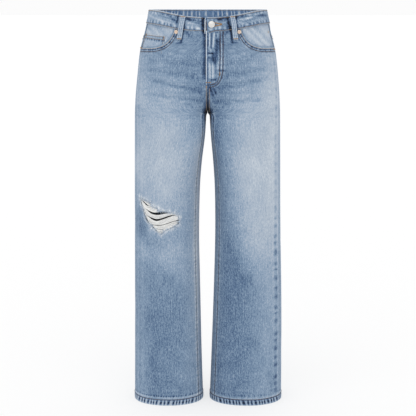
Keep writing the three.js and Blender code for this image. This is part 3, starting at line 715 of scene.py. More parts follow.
back_columns = np.linspace(0, 1, 86)[None]
back_rows = heights_between([(-122, ABOVE_CROTCH, 4), *CROTCH_ROWS, (BELOW_CROTCH, HEM_SEAM, 4)])
for side, name in ((RIGHT, "right"), (LEFT, "left")):
    ends = np.where(back_rows > CROTCH, 360, 360 + inseam(back_rows))[:, None]
    low = mix(OUTSEAM, ends, back_columns)
    high = mix(OUTSEAM, 360, back_columns)
    top = mix(yoke_foot(high) + 1.5, back_rows[0], np.linspace(0, 1, 12, endpoint=False)[:, None])
    turns = np.vstack([np.repeat(high, 12, axis=0), low])
    heights = np.vstack([top, np.repeat(back_rows[:, None], back_columns.shape[1], axis=1)])
    back = cloth(f"back_{name}_denim", side, turns, heights, 0,
                 lambda points, side=side: wear_and_shade(points) + seam_wear(points, side))
    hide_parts(f"back_{name}")
    yoke_turns = np.repeat(mix(OUTSEAM, 360, np.linspace(0, 1, 72))[None], 18, axis=0)
    yoke_heights = mix(band_foot(yoke_turns) + 2.5, yoke_foot(yoke_turns), np.linspace(0, 1, 18)[:, None])
    foot = yoke_heights - yoke_foot(yoke_turns)
    yoke = cloth(f"yoke_{name}_denim", side, yoke_turns, yoke_heights, 0.5 * smooth(14, 9, foot),
                 lambda points, foot=foot: wear_and_shade(points) + 0.10 * bump(foot, 0, 1.8) - 0.04 * bump(foot, 5, 3))
    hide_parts(f"yoke_{name}")

# Behind the seat and crotch seams lies their felled allowance, a narrow strip on the inside.
FELL_WIDTH = 11
FELL_OUT = -1.5
FELL_WALL = 1.2
UNWORN = 0.2
FELLS = [("seat", "back_left", 360, -60, 0.33), ("crotch", "front_left", 0, FLY_FOOT - 12, 0.13)]


def allowance(name, points, outside):
    """A strip of seam allowance; outside is the same grid moved towards the garment's face."""
    faces = grid_faces(*points.shape[:2])
    unworn = np.full(points.shape[:2], UNWORN)
    piece = mesh_piece(name, points, faces, unworn, grid_lengths(points), DENIM_SIDES)
    face_outwards(piece, points, faces, outside)
    solidify(piece, FELL_WALL)
    return piece


for name, rests_on, seam_turn, top, length in FELLS:
    low = CROTCH - FELL_OUT + 0.02
    fell_z = mix(low, top, np.linspace(1, 0, 80)[:, None] ** 2)
    gap = np.linspace(-FELL_WIDTH / 2, FELL_WIDTH / 2, 12)[None]
    near = abs(seam_turn - 1)
    further = abs(seam_turn - 2)
    per_degree = np.linalg.norm(on_form(LEFT, near, fell_z) - on_form(LEFT, further, fell_z), axis=-1)
    turns = np.abs(seam_turn - np.abs(gap) / per_degree)
    side = np.where(gap < 0, RIGHT, LEFT)
    points = skin(side, turns, fell_z, FELL_OUT)
    fell = allowance(f"{name}_seam_allowance", points, skin(side, turns, fell_z, 0))

# Over the crotch, the inseams' allowance, pressed open, crosses them as one strip from leg to leg.
CROSSING_OUT = 3.3
CROSSING_FOOT = CROTCH - 60
leg_line = [(float(along(INNER[LEFT], z)) + CROSSING_OUT, z)
            for z in np.linspace(CROTCH - 4, CROSSING_FOOT, 8)]
over_line = [(-x, z) for x, z in reversed(leg_line)]
over_line += [(-2.4, CROTCH + 1.4), (0, CROTCH + CROSSING_OUT), (2.4, CROTCH + 1.4)] + leg_line
crossing_line = curve_through(over_line, 90)
crossing_y = np.linspace(-FELL_WIDTH, FELL_WIDTH, 13)[None]
points = np.stack(np.broadcast_arrays(crossing_line[:, :1], crossing_y, crossing_line[:, 1:]), axis=-1)
crossing = allowance("inseam_allowance", points, points * (0.8, 1, 1) - (0, 0, 0.1))


# --- Waistband ----------------------------------------------------------------------------------------
# One strip of denim folded double round the waist and sewn on with a row along each edge. Its end on the
# wearer's left laps over the other one, with a rounded corner, and the whole edge is worn pale.
BAND_PROUD = 1.2
BAND_WALL = 2.8
TUCK = -3.5
LAP_END_TURN = 3.2
CORNER = 6.5
LAP_DROP = 4.2


def ring_profile(face, inner, edge=5):
    """Closed section of a flat folded strip: across from 0 to 1, out from -1 to 1, and how much it shows."""
    bend = np.linspace(0, math.pi, edge + 2)[1:-1]
    roll = 0.022
    across = [np.linspace(roll, 1 - roll, face), 1 - roll + roll * np.sin(bend),
              np.linspace(1 - roll, roll, inner), roll - roll * np.sin(bend)]
    out = [np.ones(face), np.cos(bend), -np.ones(inner), -np.cos(bend)]
    out = np.concatenate(out)[:, None]
    return np.concatenate(across)[:, None], out, smooth(-0.2, 0.4, out)


def recalculate(piece):
    """Points all faces of a closed mesh outwards."""
    work = bmesh.new()
    work.from_mesh(piece.data)
    bmesh.ops.recalc_face_normals(work, faces=work.faces)
    work.to_mesh(piece.data)
    work.free()


def folded_strip(name, points, tone, materials):
    """A folded strip as one closed mesh: the rows of points go round it and the columns along it."""
    rows, columns = points.shape[:2]
    faces = grid_faces(rows, columns, closed=True).tolist()
    faces.append([r * columns for r in range(rows)][::-1])
    faces.append([r * columns + columns - 1 for r in range(rows)])
    piece = mesh_piece(name, points, faces, tone, grid_lengths(points), materials)
    recalculate(piece)
    return piece


band_side = np.concatenate([np.full(6, RIGHT), np.full(250, LEFT), np.full(246, RIGHT), np.full(20, LEFT)])
band_turn = np.concatenate([np.linspace(LAP_END_TURN, 0.2, 6), np.linspace(0.2, 359.8, 250),
                            np.linspace(359.8, 3.4, 246), np.linspace(0.6, 18, 20)])
tucked = np.concatenate([np.zeros(256), np.where(np.arange(246) > 200, 1, 0), np.ones(20)])
band_shift = np.where(tucked > 0, TUCK * smooth(26, 3.4, np.where(band_side < 0, band_turn, 0)), 0)[None]
h, o, outer_face = ring_profile(24, 12)
middle = on_form(band_side, band_turn, -20)
band_along = walked(middle)[None]
corner = CORNER - np.sqrt(np.maximum(0, CORNER**2 - np.maximum(0, CORNER - band_along) ** 2))
band_top = -band_dip(band_turn)[None] - corner
lap_drop = LAP_DROP * smooth(34, 2, band_along)
band_z = mix(band_top, band_foot(band_turn)[None] - lap_drop, h)
from_foot = (1 - h) * BAND_HEIGHT + 0 * band_along
puckers = wavy(band_along, 11.5, 0.7) * bump(from_foot, 7.5, 3.6)
puckers_top = wavy(band_along, 14, 2.1) * bump(from_foot, BAND_HEIGHT - 7, 3)
band_out = (BAND_PROUD - BAND_WALL / 2 + o * BAND_WALL / 2 + band_shift
            + outer_face * (0.45 * puckers + 0.3 * puckers_top))
band_points = skin(band_side[None], band_turn[None], band_z, band_out)
# Creases the band's shape does not have, drawn in tone: painted highlight along their ridges and painted
# shade in their folds, as start, end, reach and change.
BAND_CREASE_LIGHT_AND_SHADE = [
    ((-137, -7), (-93, -25), 3.2, 0.09), ((-147, -16), (-111, -31), 3.0, 0.08),
    ((-98, -14), (-83, -26), 3.4, -0.10), ((-128, -10), (-100, -13), 2.4, -0.07),
    ((-52, -25), (-11, -40), 3.4, -0.10), ((-52, -42), (-18, -47), 3.0, 0.07),
    ((71, -27), (112, -20), 2.6, 0.10), ((75, -34), (105, -26), 2.4, 0.08),
    ((99, -22), (148, -5), 2.8, 0.10), ((68, -20), (140, -12), 2.8, -0.10),
    ((110, -30), (148, -22), 3.0, 0.05), ((30, -24), (50, -30), 4, -0.07),
    ((-124, -14), (-80, -28), 2.0, -0.15), ((-51, -23.5), (-15, -29.5), 2.2, -0.15),
    ((-50, -32), (-22, -37), 2.8, 0.09), ((71, -22), (79, -30), 3, -0.12),
    ((77, -29), (92, -37), 2.4, 0.10), ((97, -13.5), (126, -13), 1.9, 0.10),
    ((120, -16), (149, -15), 2.2, -0.12), ((84, -32), (112, -24), 1.8, -0.10),
    ((-118, -26), (-88, -35), 2.2, 0.07), ((3, -47), (38, -46), 2.6, 0.08),
    ((22, -30), (34, -46), 2.6, 0.10), ((36, -34), (52, -28), 2.2, 0.09), ((4, -25), (20, -25), 2.2, 0.08),
    ((22, -24), (46, -22), 3.6, -0.09), ((-40, -30), (-20, -27), 2, 0.07),
]


def band_tone():
    x, y, z = (band_points[..., k] for k in range(3))
    side_tone = np.where(band_side < 0, 0.585, 0.535)[None] - 0.03 * bump(x, 20, 40) * facing_front(y)
    front = streaks(x, z, BAND_CREASE_LIGHT_AND_SHADE)
    back = streaks(x, z, [((start, -30), (start + 26, -8), 3.5, 0.07) for start in range(-150, 150, 34)])
    # Pale worn edges; the dark lines along the rows of stitches and inside the lapped end are painted shade
    # in their grooves.
    edges = 0.16 * bump(from_foot, 0, 1.3) + 0.22 * bump(from_foot, BAND_HEIGHT, 1.5)
    rows = -0.18 * bump(from_foot, 2.8, 1.5) - 0.14 * bump(from_foot, BAND_HEIGHT - 3.4, 1.6)
    end = 0.36 * bump(band_along, 0.4, 1.5) - 0.30 * bump(band_along, 4.4, 1.8)
    outside = (side_tone + 1.5 * mix(back, front, facing_front(y)) + edges + rows + end + loop_and_lap_shadows(band_points)
               + 0.16 * puckers + 0.10 * puckers_top)
    pucker_inside = np.maximum(0, wavy(band_along, 12, 0.2)) ** 2 * bump(from_foot, 24, 9)
    inside = (0.47 + 0.52 * pucker_inside + 0.2 * bump(from_foot, BAND_HEIGHT, 2)
              - 0.2 * smooth(19, 11, from_foot))
    # Painted shade on the tucked band beside the lap's end.
    shade_by_lap_end = -0.22 * np.where(band_side < 0, bump(band_turn, 3, 3.2), 0)[None] * tucked[None]
    return mix(inside, outside + shade_by_lap_end, outer_face)


LESS_FADED_TONES = [(0.10, "#1d3252"), (0.35, "#4f74a3"), (0.50, "#7799c4"), (0.62, "#94b2d6"),
                    (0.80, "#cbdcee"), (0.95, "#eef4fa")]
less_faded_denim = denim("less_faded_denim", LESS_FADED_TONES)
waistband = folded_strip("waistband_denim", band_points, band_tone(), [washed_denim, less_faded_denim])
inner_rows = (np.arange(len(o)) > 30) & (np.arange(len(o)) < 41)
columns = band_points.shape[1]
for face in waistband.data.polygons:
    face.material_index = int(all(inner_rows[v // columns] for v in face.vertices))
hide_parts("waistband")


# --- Pocket openings ----------------------------------------------------------------------------------
# Each front is scooped out for a pocket and bound with a turned edge under two rows of stitching. A pale
# denim facing fills the opening, and the right one carries the small coin pocket.
FACING_OUT = -1.9
FACING_FOOT = -132
COIN_TOP = (-66, -60.5)
COIN_TURNS = (74, 150)


def millimetres_per_degree(side, degrees, z):
    step = skin(side, degrees + 0.5, z) - skin(side, degrees - 0.5, z)
    return np.linalg.norm(step, axis=-1)


def beside(side, degrees, z, offset):
    """Turns and heights moved sideways from a path by an offset along the cloth."""
    scale = millimetres_per_degree(side, degrees, z)
    along_path, up = np.gradient(degrees) * scale, np.gradient(z)
    length = np.hypot(along_path, up)
    return degrees + offset * up / length / scale, z - offset * along_path / length


OPENING_POINTS = 170
opening_turns, opening_z = curve_through(OPENING, OPENING_POINTS).T
EDGE_WIDTH = 12
coin_u = np.linspace(0, 1, 50)[None]
for side, name in ((RIGHT, "right"), (LEFT, "left")):
    turns = np.repeat(mix(48, OUTSEAM, np.linspace(0, 1, 90))[None], 40, axis=0)
    heights = mix(band_foot(turns) + 2, FACING_FOOT, np.linspace(0, 1, 40)[:, None])
    edge_path = skin(side, opening_turns, opening_z)

    def facing_tone(points, side=side, edge_path=edge_path):
        near, s = distance_to(points, edge_path)
        x, z = points[..., 0], points[..., 2]
        pale = 0.70 if side == RIGHT else 0.715
        near_seam = 0.07 * smooth(150, 166, np.abs(x))
        # Darker along the opening edge and just under the band: painted shade.
        return pale - near_seam - 0.28 * bump(near, 0, 4) - 0.08 * bump(z, -40, 9) + 0.04 * wavy(x + z, 31, 2)

    facing = cloth(f"pocket_facing_{name}_denim", side, turns, heights, FACING_OUT, facing_tone,
                   thickness=1.1)
    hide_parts(f"pocket_facing_{name}")

    w = np.linspace(-0.6, EDGE_WIDTH, 16)[:, None]
    s = np.linspace(0, 1, OPENING_POINTS)[None] * walked(edge_path)[-1]
    moved = [beside(side, opening_turns, opening_z, offset) for offset in w[:, 0]]
    edge_turns = np.clip(np.stack([m[0] for m in moved]), 48, OUTSEAM)
    edge_z = np.stack([m[1] for m in moved])
    roping = wavy(s, 7.5, side) * bump(w, 5.6, 2.2)
    edge_out = 0.55 + 0.35 * roping - 1.9 * smooth(0.9, -0.6, w) - 0.5 * smooth(10, 12, w)
    edge_tone = (0.58 + 0.24 * bump(w, 0.2, 1.5) + 0.10 * bump(w, 7.4, 1.0) - 0.20 * bump(w, 4.6, 1.5)
                 - 0.30 * np.maximum(0, roping) - 0.28 * bump(w, 9.8, 1.5) + 0.06 * wavy(s, 19, 3)
                 + 0.10 * bump(w, 12, 1.2))
    edge = cloth(f"pocket_edge_{name}_denim", side, edge_turns, edge_z, edge_out,
                 lambda points, tone=edge_tone: tone, thickness=1.2)

coin_turns = np.repeat(mix(*COIN_TURNS, coin_u), 26, axis=0)
coin_down = np.linspace(0, 1, 26)[:, None]
coin_z = mix(mix(*COIN_TOP, coin_u), -122, coin_down)
coin_top_gap = mix(*COIN_TOP, coin_u) - coin_z
coin_side_gap = np.minimum(coin_u, 1 - coin_u) * 68
coin_dashes = np.maximum(0, wavy(coin_u * 70, 8, 1))
coin_tone = (0.66 + 0.18 * bump(coin_top_gap, 0.2, 1.5) + 0.12 * bump(coin_side_gap, 0, 1.6)
             - 0.36 * bump(coin_top_gap, 11.5, 2.4) * (0.35 + coin_dashes)
             - 0.16 * bump(coin_top_gap, 3.4, 1.6)
             - 0.14 * bump(coin_side_gap, 4.4, 2.2))
coin_pocket = cloth("coin_pocket_denim", RIGHT, coin_turns, coin_z, FACING_OUT + 1.3 + 0 * coin_z,
                    lambda points: coin_tone, thickness=1.1)
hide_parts("coin_pocket")


# --- Hems ---------------------------------------------------------------------------------------------
# Each leg is turned up twice and sewn round with one row. Washing has twisted the fold into slanted ropes:
# their high places are worn nearly white and their low places keep the blue.
HEM_HEIGHT = 17.5
HEM_WALL = 3.2
ROPE_PITCH = 9.8
ROPE_SLANT = 0.2
for side, name in ((RIGHT, "right"), (LEFT, "left")):
    h, o, outside = ring_profile(13, 6)
    hem_turns = np.linspace(0, 360, 401)[None, :-1] + inseam(HEM)
    hem_z = mix(HEM + HEM_HEIGHT, HEM + 0.2, h) + 0 * hem_turns
    middle = on_form(side, hem_turns[0], HEM)
    s = walked(middle)[None]
    total = s[0, -1] + np.linalg.norm(middle[0] - middle[-1])
    slanted = (s + ROPE_SLANT * (hem_z - HEM)) / total * round(total / ROPE_PITCH) * 2 * math.pi
    drift = 1.3 * np.sin(7 * 2 * math.pi * s / total) + 0.9 * np.sin(17 * 2 * math.pi * s / total + 1)
    rope = np.sin(slanted + drift)
    body = bump(hem_z - HEM, 8, 5.5)
    hem_out = 0.5 - HEM_WALL / 2 + o * HEM_WALL / 2 + outside * 0.7 * rope * body
    points = skin(side, hem_turns, hem_z, hem_out)
    deep = smooth(-0.35, 0.45, -rope) * body
    # Painted shade in the groove of the hem's row of stitches.
    stitch_groove_shade = bump(hem_z - HEM, HEM_HEIGHT - 1.2, 1.8)
    tone = (0.64 - 0.03 * side - 0.48 * deep + 0.08 * bump(hem_z - HEM, 1, 2) + 0.04 * rope
            - 0.34 * stitch_groove_shade)
    tone = mix(0.5, tone, outside)
    rows, columns = points.shape[:2]
    faces = grid_faces(rows, columns, closed=True).tolist()
    for start in range(0, rows * columns, columns):
        beyond = (start + columns) % (rows * columns)
        faces.append([start + columns - 1, beyond + columns - 1, beyond, start])
    hem = mesh_piece(f"hem_{name}_denim", points, faces, tone, grid_lengths(points), [washed_denim])
    recalculate(hem)


# --- Belt loops ---------------------------------------------------------------------------------------
# Five narrow folded strips of denim. They stand off the band and are held by a bar of stitches at each end;
# their folded ribs have worn pale lines along them.
LOOP_WIDTH = 12.5
LOOP_WALL = 1.8
LOOP_RIBS = 3
LOOP_ABOVE = 1
LOOP_BELOW = 24
LOOP_LIFT = [(0, 1.7), (0.16, 3.6), (0.35, 4.4), (0.52, 3.9), (0.66, 2.3), (0.82, 1.1), (1, 0.8)]
LOOPS = [
    ("belt_loop_front_right", RIGHT, 38.5, 43), ("belt_loop_front_left", LEFT, 38.5, 42),
    ("belt_loop_back_right", RIGHT, 284, 284), ("belt_loop_back_left", LEFT, 284, 284),
    ("belt_loop_centre_back", LEFT, 360, 360),
]


def loop_place(side, top_turn, foot_turn, v, across, out):
    """Points of a belt loop from places down it and millimetres across it."""
    middle = mix(top_turn, foot_turn, v)
    top, foot = -band_dip(middle) - LOOP_ABOVE, band_foot(middle) - LOOP_BELOW
    lift = np.interp(v, *zip(*LOOP_LIFT))
    z = mix(top, foot, v)
    if top_turn == 360:
        points = on_form(LEFT, 360 + 0 * across, z, lift + out)
        points[..., 0] = -across
        return points
    scale = np.linalg.norm(on_form(side, middle + 0.5, z) - on_form(side, middle - 0.5, z), axis=-1)
    return on_form(side, middle + across / scale, z, lift + out)


for name, side, top_turn, foot_turn in LOOPS:
    a, o, outside = ring_profile(17, 5, edge=3)
    across, v, o = np.broadcast_arrays((1 - a * 2) * LOOP_WIDTH / 2, np.linspace(0, 1, 48)[None], o)
    rib = np.cos(across / LOOP_WIDTH * 2 * math.pi * LOOP_RIBS)
    out = LOOP_WALL / 2 * (1 + o) + outside * 0.22 * rib
    points = loop_place(side, top_turn, foot_turn, v, across, out)
    tone = 0.64 + outside * (0.13 * rib + 0.06 * bump(np.abs(across), LOOP_WIDTH / 2, 0.8)
                             + 0.05 * wavy(v * 75 + 3 * np.abs(across), 13, top_turn)
                             + 0.08 * bump(v, 0, 0.03) + 0.08 * bump(v, 1, 0.03) - 0.06 * bump(v, 0.1, 0.05))
    loop = folded_strip(f"{name}_denim", points, tone, [washed_denim])
    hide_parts(name)


# --- Back pockets -------------------------------------------------------------------------------------
# Two plain patch pockets with pointed feet, sewn on with two rows round the sides and across the mouth.
BACK_POCKET_CENTRE = 88
BACK_POCKET_TOP = -107
BACK_POCKET_WIDTH = (142, 124)
BACK_POCKET_SIDE = 116
BACK_POCKET_POINT = 20


def back_pocket_place(side, u, v):
    """Turns and heights of a back pocket from places across (-1 to 1) and down (0 to 1)."""
    z = BACK_POCKET_TOP - v * (BACK_POCKET_SIDE + BACK_POCKET_POINT * (1 - np.abs(u)))
    across = (u * mix(*BACK_POCKET_WIDTH, v) / 2).ravel()
    turns = np.linspace(230, 359.9, 260)
    rows = on_form(side, turns[None], z.reshape(-1, 1))
    girth = np.cumsum(np.linalg.norm(np.diff(rows, axis=1, prepend=rows[:, :1]), axis=2), axis=1)
    _, middle = turn_at(side * BACK_POCKET_CENTRE + 0 * z.ravel(), z.ravel(), back=True)
    reached = [np.interp(np.interp(centre, turns, row) + gap, row, turns)
               for centre, row, gap in zip(middle, girth, across)]
    return np.reshape(reached, z.shape), z


for side, name in ((RIGHT, "right"), (LEFT, "left")):
    u, v = np.meshgrid(np.linspace(-1, 1, 61), np.linspace(0, 1, 61))
    turns, heights = back_pocket_place(side, u, v)
    rim = np.minimum((1 - np.abs(u)) * 66, (1 - v) * 120)
    mouth = v * 125
    pocket_tone = (0.03 + 0.12 * bump(rim, 0, 1.6) - 0.06 * bump(rim, 6.5, 2.2) + 0.12 * bump(mouth, 0, 1.6)
                   - 0.07 * bump(mouth, 10, 2.6) * (1 + wavy(u * 70, 9, side)) + 0.03 * bump(mouth, 60, 40))
    pocket = cloth(f"back_pocket_{name}_denim", side, turns, heights, 1.5 + 0.7 * smooth(0, 1.5, rim),
                   lambda points, tone=pocket_tone: wear_and_shade(points) + tone, thickness=1.2)
    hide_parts(f"back_pocket_{name}")


# --- Stitching ----------------------------------------------------------------------------------------
# Rows of lockstitch in thick polyester-cotton thread, washed to tan, brown and grey. The thread is drawn
# 1.5 mm wide, twice the real width, so that each row shows.
STITCH_PITCH = 3.8
STITCH_LENGTH = 3.3
STITCH_WIDTH = 1.5
STITCH_HEIGHT = 0.9
TACK_PITCH = 0.62
TACK_STITCH = (2.4, 0.75, 0.8)
TACK_LEAN = 0.18
RING = np.linspace(0, 2 * math.pi, 6, endpoint=False)
SECTIONS = [(-0.5, 0.25, -0.45), (-0.3, 0.85, 0), (0, 1.0, 0.05), (0.3, 0.85, 0), (0.5, 0.25, -0.45)]


def yarn(name, light, dark, pattern, feel):
    """Soft matt yarn. Its pattern and its own tone move its colour from dark to light, each by its share."""
    material, tree, shader = new_material(name)
    kind, settings, sizes = pattern
    pattern_share, tone_share, depth, roughness, sheen = feel
    tone = node(tree, "ShaderNodeAttribute", {"attribute_name": "tone"}).outputs["Fac"]
    place = node(tree, "ShaderNodeUVMap", {"uv_map": "Cloth"}).outputs[0]
    plies = node(tree, kind, settings, Vector=place, **sizes).outputs["Fac"]
    own = node(tree, "ShaderNodeMath", {"operation": "MULTIPLY"}, _0=tone, _1=tone_share).outputs[0]
    shade = node(tree, "ShaderNodeMath", {"operation": "MULTIPLY_ADD"}, _0=plies, _1=pattern_share, _2=own)
    mixed = node(tree, "ShaderNodeMix", {"data_type": "RGBA"}, _0=shade.outputs[0], _6=linear(dark),
                 _7=linear(light))
    tree.links.new(mixed.outputs[2], shader.inputs["Base Color"])
    bumped = node(tree, "ShaderNodeBump", Height=plies, Strength=0.4, Distance=depth / 1000)
    tree.links.new(bumped.outputs[0], shader.inputs["Normal"])
    shader.inputs["Roughness"].default_value = roughness
    shader.inputs["Sheen Weight"].default_value = sheen
    return material


# Sewing thread is twisted hard, so it shows its plies. The values of its feel are the pattern's share, the
# tone's share, the depth of the plies in millimetres, the roughness and the sheen.
TWISTED = ("ShaderNodeTexWave", {"bands_direction": "DIAGONAL"}, {"Scale": 420})
TWISTED_FEEL = (0.35, 0.65, 0.2, 0.8, 0.15)
THREAD_COLOURS = [
    ("washed_tan_thread", "#b09a80", "#6b5a48"), ("washed_brown_thread", "#7a6350", "#3d332c"),
    ("faded_grey_thread", "#958f86", "#4f4d4c"), ("orange_bartack_thread", "#c0976a", "#7c5f40"),
]
tan_thread, brown_thread, grey_thread, orange_thread = (
    yarn(*colours, TWISTED, TWISTED_FEEL) for colours in THREAD_COLOURS)


def stitch_points(centres, tangents, normals, length, width, height):
    """Vertices of small tapered stitches, one row of the result for each stitch."""
    sideways = np.cross(normals, tangents)
    sideways /= np.linalg.norm(sideways, axis=1, keepdims=True)
    rings = []
    for at, size, sink in SECTIONS:
        centre = centres + tangents * at * length + normals * sink * height
        for angle in RING:
            rings.append(centre + sideways * (math.cos(angle) * size * width / 2)
                         + normals * (math.sin(angle) * size * height / 2))
    return np.stack(rings, axis=1)


def stitch_faces(count):
    ring = len(RING)
    one = [[s * ring + k, s * ring + (k + 1) % ring, (s + 1) * ring + (k + 1) % ring, (s + 1) * ring + k]
           for s in range(len(SECTIONS) - 1) for k in range(ring)]
    per_stitch = ring * len(SECTIONS)
    faces = (np.array(one)[None] + np.arange(count)[:, None, None] * per_stitch).reshape(-1, 4).tolist()
    for k in range(count):
        faces.append([k * per_stitch + r for r in range(ring)][::-1])
        faces.append([(k + 1) * per_stitch - ring + r for r in range(ring)])
    return faces


def stitched(name, rows, material, seed):
    """Joins rows of stitches, each a tuple of centres, tangents, normals, length, width and height."""
    points = np.concatenate([stitch_points(*row) for row in rows])
    random = np.random.default_rng(seed)
    tone = np.repeat(random.uniform(0, 1, len(points))[:, None], points.shape[1], axis=1)
    flat = points.reshape(-1, 3)
    uv = np.stack([flat[:, 0] + flat[:, 1], flat[:, 2]], axis=-1) / 1000
    recalculate(mesh_piece(name, flat, stitch_faces(len(points)), tone, uv, [material]))


def row_on(path, above, pitch=STITCH_PITCH):
    """One row of stitches along a path; above is the same path 1 mm further out."""
    position = walked(path)
    count = max(1, round(position[-1] / pitch))
    wanted = (np.arange(count) + 0.5) * position[-1] / count
    tangents = spaced(path, position, wanted + 0.5) - spaced(path, position, wanted - 0.5)
    tangents /= np.linalg.norm(tangents, axis=1, keepdims=True)
    normals = spaced(above - path, position, wanted)
    normals -= tangents * np.sum(normals * tangents, axis=1, keepdims=True)
    normals /= np.linalg.norm(normals, axis=1, keepdims=True)
    return spaced(path, position, wanted), tangents, normals, STITCH_LENGTH, STITCH_WIDTH, STITCH_HEIGHT


def seam_row(side, degrees, z, out=0.35, pitch=STITCH_PITCH):
    """One row of stitches along a path of turns and heights on the cloth."""
    degrees, z = np.broadcast_arrays(np.asarray(degrees, float), np.asarray(z, float))
    return row_on(skin(side, degrees, z, out), skin(side, degrees, z, np.asarray(out) + 1), pitch)


def tack_on(row):
    """Lays the stitches of a close row across it, leaning a little, so that they make a bar."""
    centres, tangents, normals, *_ = row
    lean = np.cross(normals, tangents) + TACK_LEAN * tangents
    lean /= np.linalg.norm(lean, axis=1, keepdims=True)
    return centres, lean, normals, *TACK_STITCH


def bartack(side, start, end, out):
    """A bartack along a short line, its ends given across and up as seen from ahead."""
    places = mix(np.array(start, float), np.array(end, float), np.linspace(0, 1, 12)[:, None])
    _, degrees = turn_at(places[:, 0], places[:, 1])
    return tack_on(seam_row(side, degrees, places[:, 1], out, TACK_PITCH))


half_turn = np.linspace(0.4, 359.6, 900)
band_rows_tan = []
for side in (RIGHT, LEFT):
    turns = half_turn[half_turn > 5] if side == RIGHT else half_turn
    sunk = TUCK * smooth(26, 3.4, turns) * (side < 0)
    for from_edge, foot in ((2.4, False), (2.2, True)):
        dropped = LAP_DROP * smooth(9, 0, turns) * (side > 0)
        z = band_foot(turns) - dropped + from_edge if foot else -band_dip(turns) - from_edge
        band_rows_tan.append(seam_row(side, turns, z, BAND_PROUD + 0.25 + sunk))
end_z = np.linspace(-FRONT_DIP - 8, -FRONT_DIP - BAND_HEIGHT + 2.4, 20)
band_rows_tan.append(seam_row(RIGHT, turn_at(-4.0, end_z)[1], end_z, BAND_PROUD + 0.25))
inner_turns = np.linspace(200, 359.6, 300)
for side in (RIGHT, LEFT):
    z = -band_dip(inner_turns) - 2.4
    path = skin(side, inner_turns, z, BAND_PROUD - BAND_WALL - 0.25)
    under = skin(side, inner_turns, z, BAND_PROUD - BAND_WALL - 1.25)
    band_rows_tan.append(row_on(path, under))
stitched("waistband_stitches", band_rows_tan, tan_thread, seed=3)

pocket_inner, pocket_outer = [], []
for side in (RIGHT, LEFT):
    for offset, group in ((2.2, pocket_inner), (9.6, pocket_outer)):
        turns, z = beside(side, opening_turns, opening_z, offset)
        inside = turns < OUTSEAM - 0.5
        group.append(seam_row(side, turns[inside], z[inside], 0.85))
stitched("pocket_stitches_inner", pocket_inner, tan_thread, seed=4)
stitched("pocket_stitches_outer", pocket_outer, brown_thread, seed=5)

coin_rows = []
u_line = np.linspace(0.03, 0.97, 60)
for gap in (2.6, 9.4):
    z = mix(*COIN_TOP, u_line) - gap
    coin_rows.append(seam_row(RIGHT, mix(*COIN_TURNS, u_line), z, FACING_OUT + 1.6))
for u_side in (0.035, 0.965):
    z = np.linspace(mix(*COIN_TOP, u_side), -110, 40)
    coin_rows.append(seam_row(RIGHT, mix(*COIN_TURNS, u_side), z, FACING_OUT + 1.6))
stitched("coin_pocket_stitches", coin_rows, tan_thread, seed=6)


def front_row(places):
    """A row through places across and up as seen from ahead, over the lap of the fly where it is raised."""
    line = curve_through(places, 240)
    _, degrees = turn_at(line[:, 0], line[:, 1])
    side = RIGHT if line[:, 0].mean() < 0 else LEFT
    lifted = fly_lift(np.abs(line[:, 0]), line[:, 1]) * (side > 0)
    return seam_row(side, degrees, line[:, 1], 0.35 + lifted)


# The fly: two rows make a J down the left front. Under it one row runs on each side of the crotch seam.
stitched("fly_stitches", [front_row(FLY_J_OUTER), front_row(FLY_J_INNER)], brown_thread, seed=7)
stitched("crotch_stitches", [front_row([(-3.6, -192), (-3.6, -225), (-3.2, -248), (-3, -258)]),
                             front_row([(4.6, -196), (4.6, -225), (4.4, -248), (4.2, -258)])],
         tan_thread, seed=9)

# Long seams: the inseam has one row on the front, the seat and the yokes have two.
inseam_rows, hem_rows, seat_rows = [], [], []
for side in (RIGHT, LEFT):
    z = np.linspace(-300, HEM + HEM_HEIGHT + 1, 700)
    turns = np.interp(z, *zip(*INSEAM_ROW))
    inseam_rows.append(seam_row(side, turns, z, 0.3))
    around = np.linspace(0, 360, 800)
    hem_rows.append(seam_row(side, around, HEM + HEM_HEIGHT - 0.8, 0.8))
    for offset in (2.2, 8.5):
        turns = np.linspace(OUTSEAM + 1, 359.5, 300)
        seat_rows.append(seam_row(side, turns, yoke_foot(turns) + offset, 0.85))
z = np.linspace(-112, -252, 200)
for x in (1.6, 8.0):
    seat_rows.append(seam_row(LEFT, turn_at(x + 0 * z, z, back=True)[1], z, 0.5))
stitched("inseam_stitches", inseam_rows, grey_thread, seed=10)
stitched("hem_stitches", hem_rows, brown_thread, seed=11)
stitched("seat_and_yoke_stitches", seat_rows, tan_thread, seed=12)

pocket_rows = []
for side in (RIGHT, LEFT):
    for inset in (2.2, 8.4):
        edge_u = 1 - inset / 66
        down = np.linspace(0, 1 - inset / 122, 120)
        across = np.linspace(edge_u, -edge_u, 120)
        u = np.concatenate([0 * down + edge_u, across, 0 * down - edge_u])
        v = np.concatenate([down, 0 * across + down[-1], down[::-1]])
        turns, z = back_pocket_place(side, u, v)
        pocket_rows.append(seam_row(side, turns, z, 2.5))
    for gap in (3, 14):
        u = np.linspace(-0.96, 0.96, 120)
        turns, z = back_pocket_place(side, u, gap / 126 + 0 * u)
        pocket_rows.append(seam_row(side, turns, z, 2.5))
stitched("back_pocket_stitches", pocket_rows, tan_thread, seed=13)

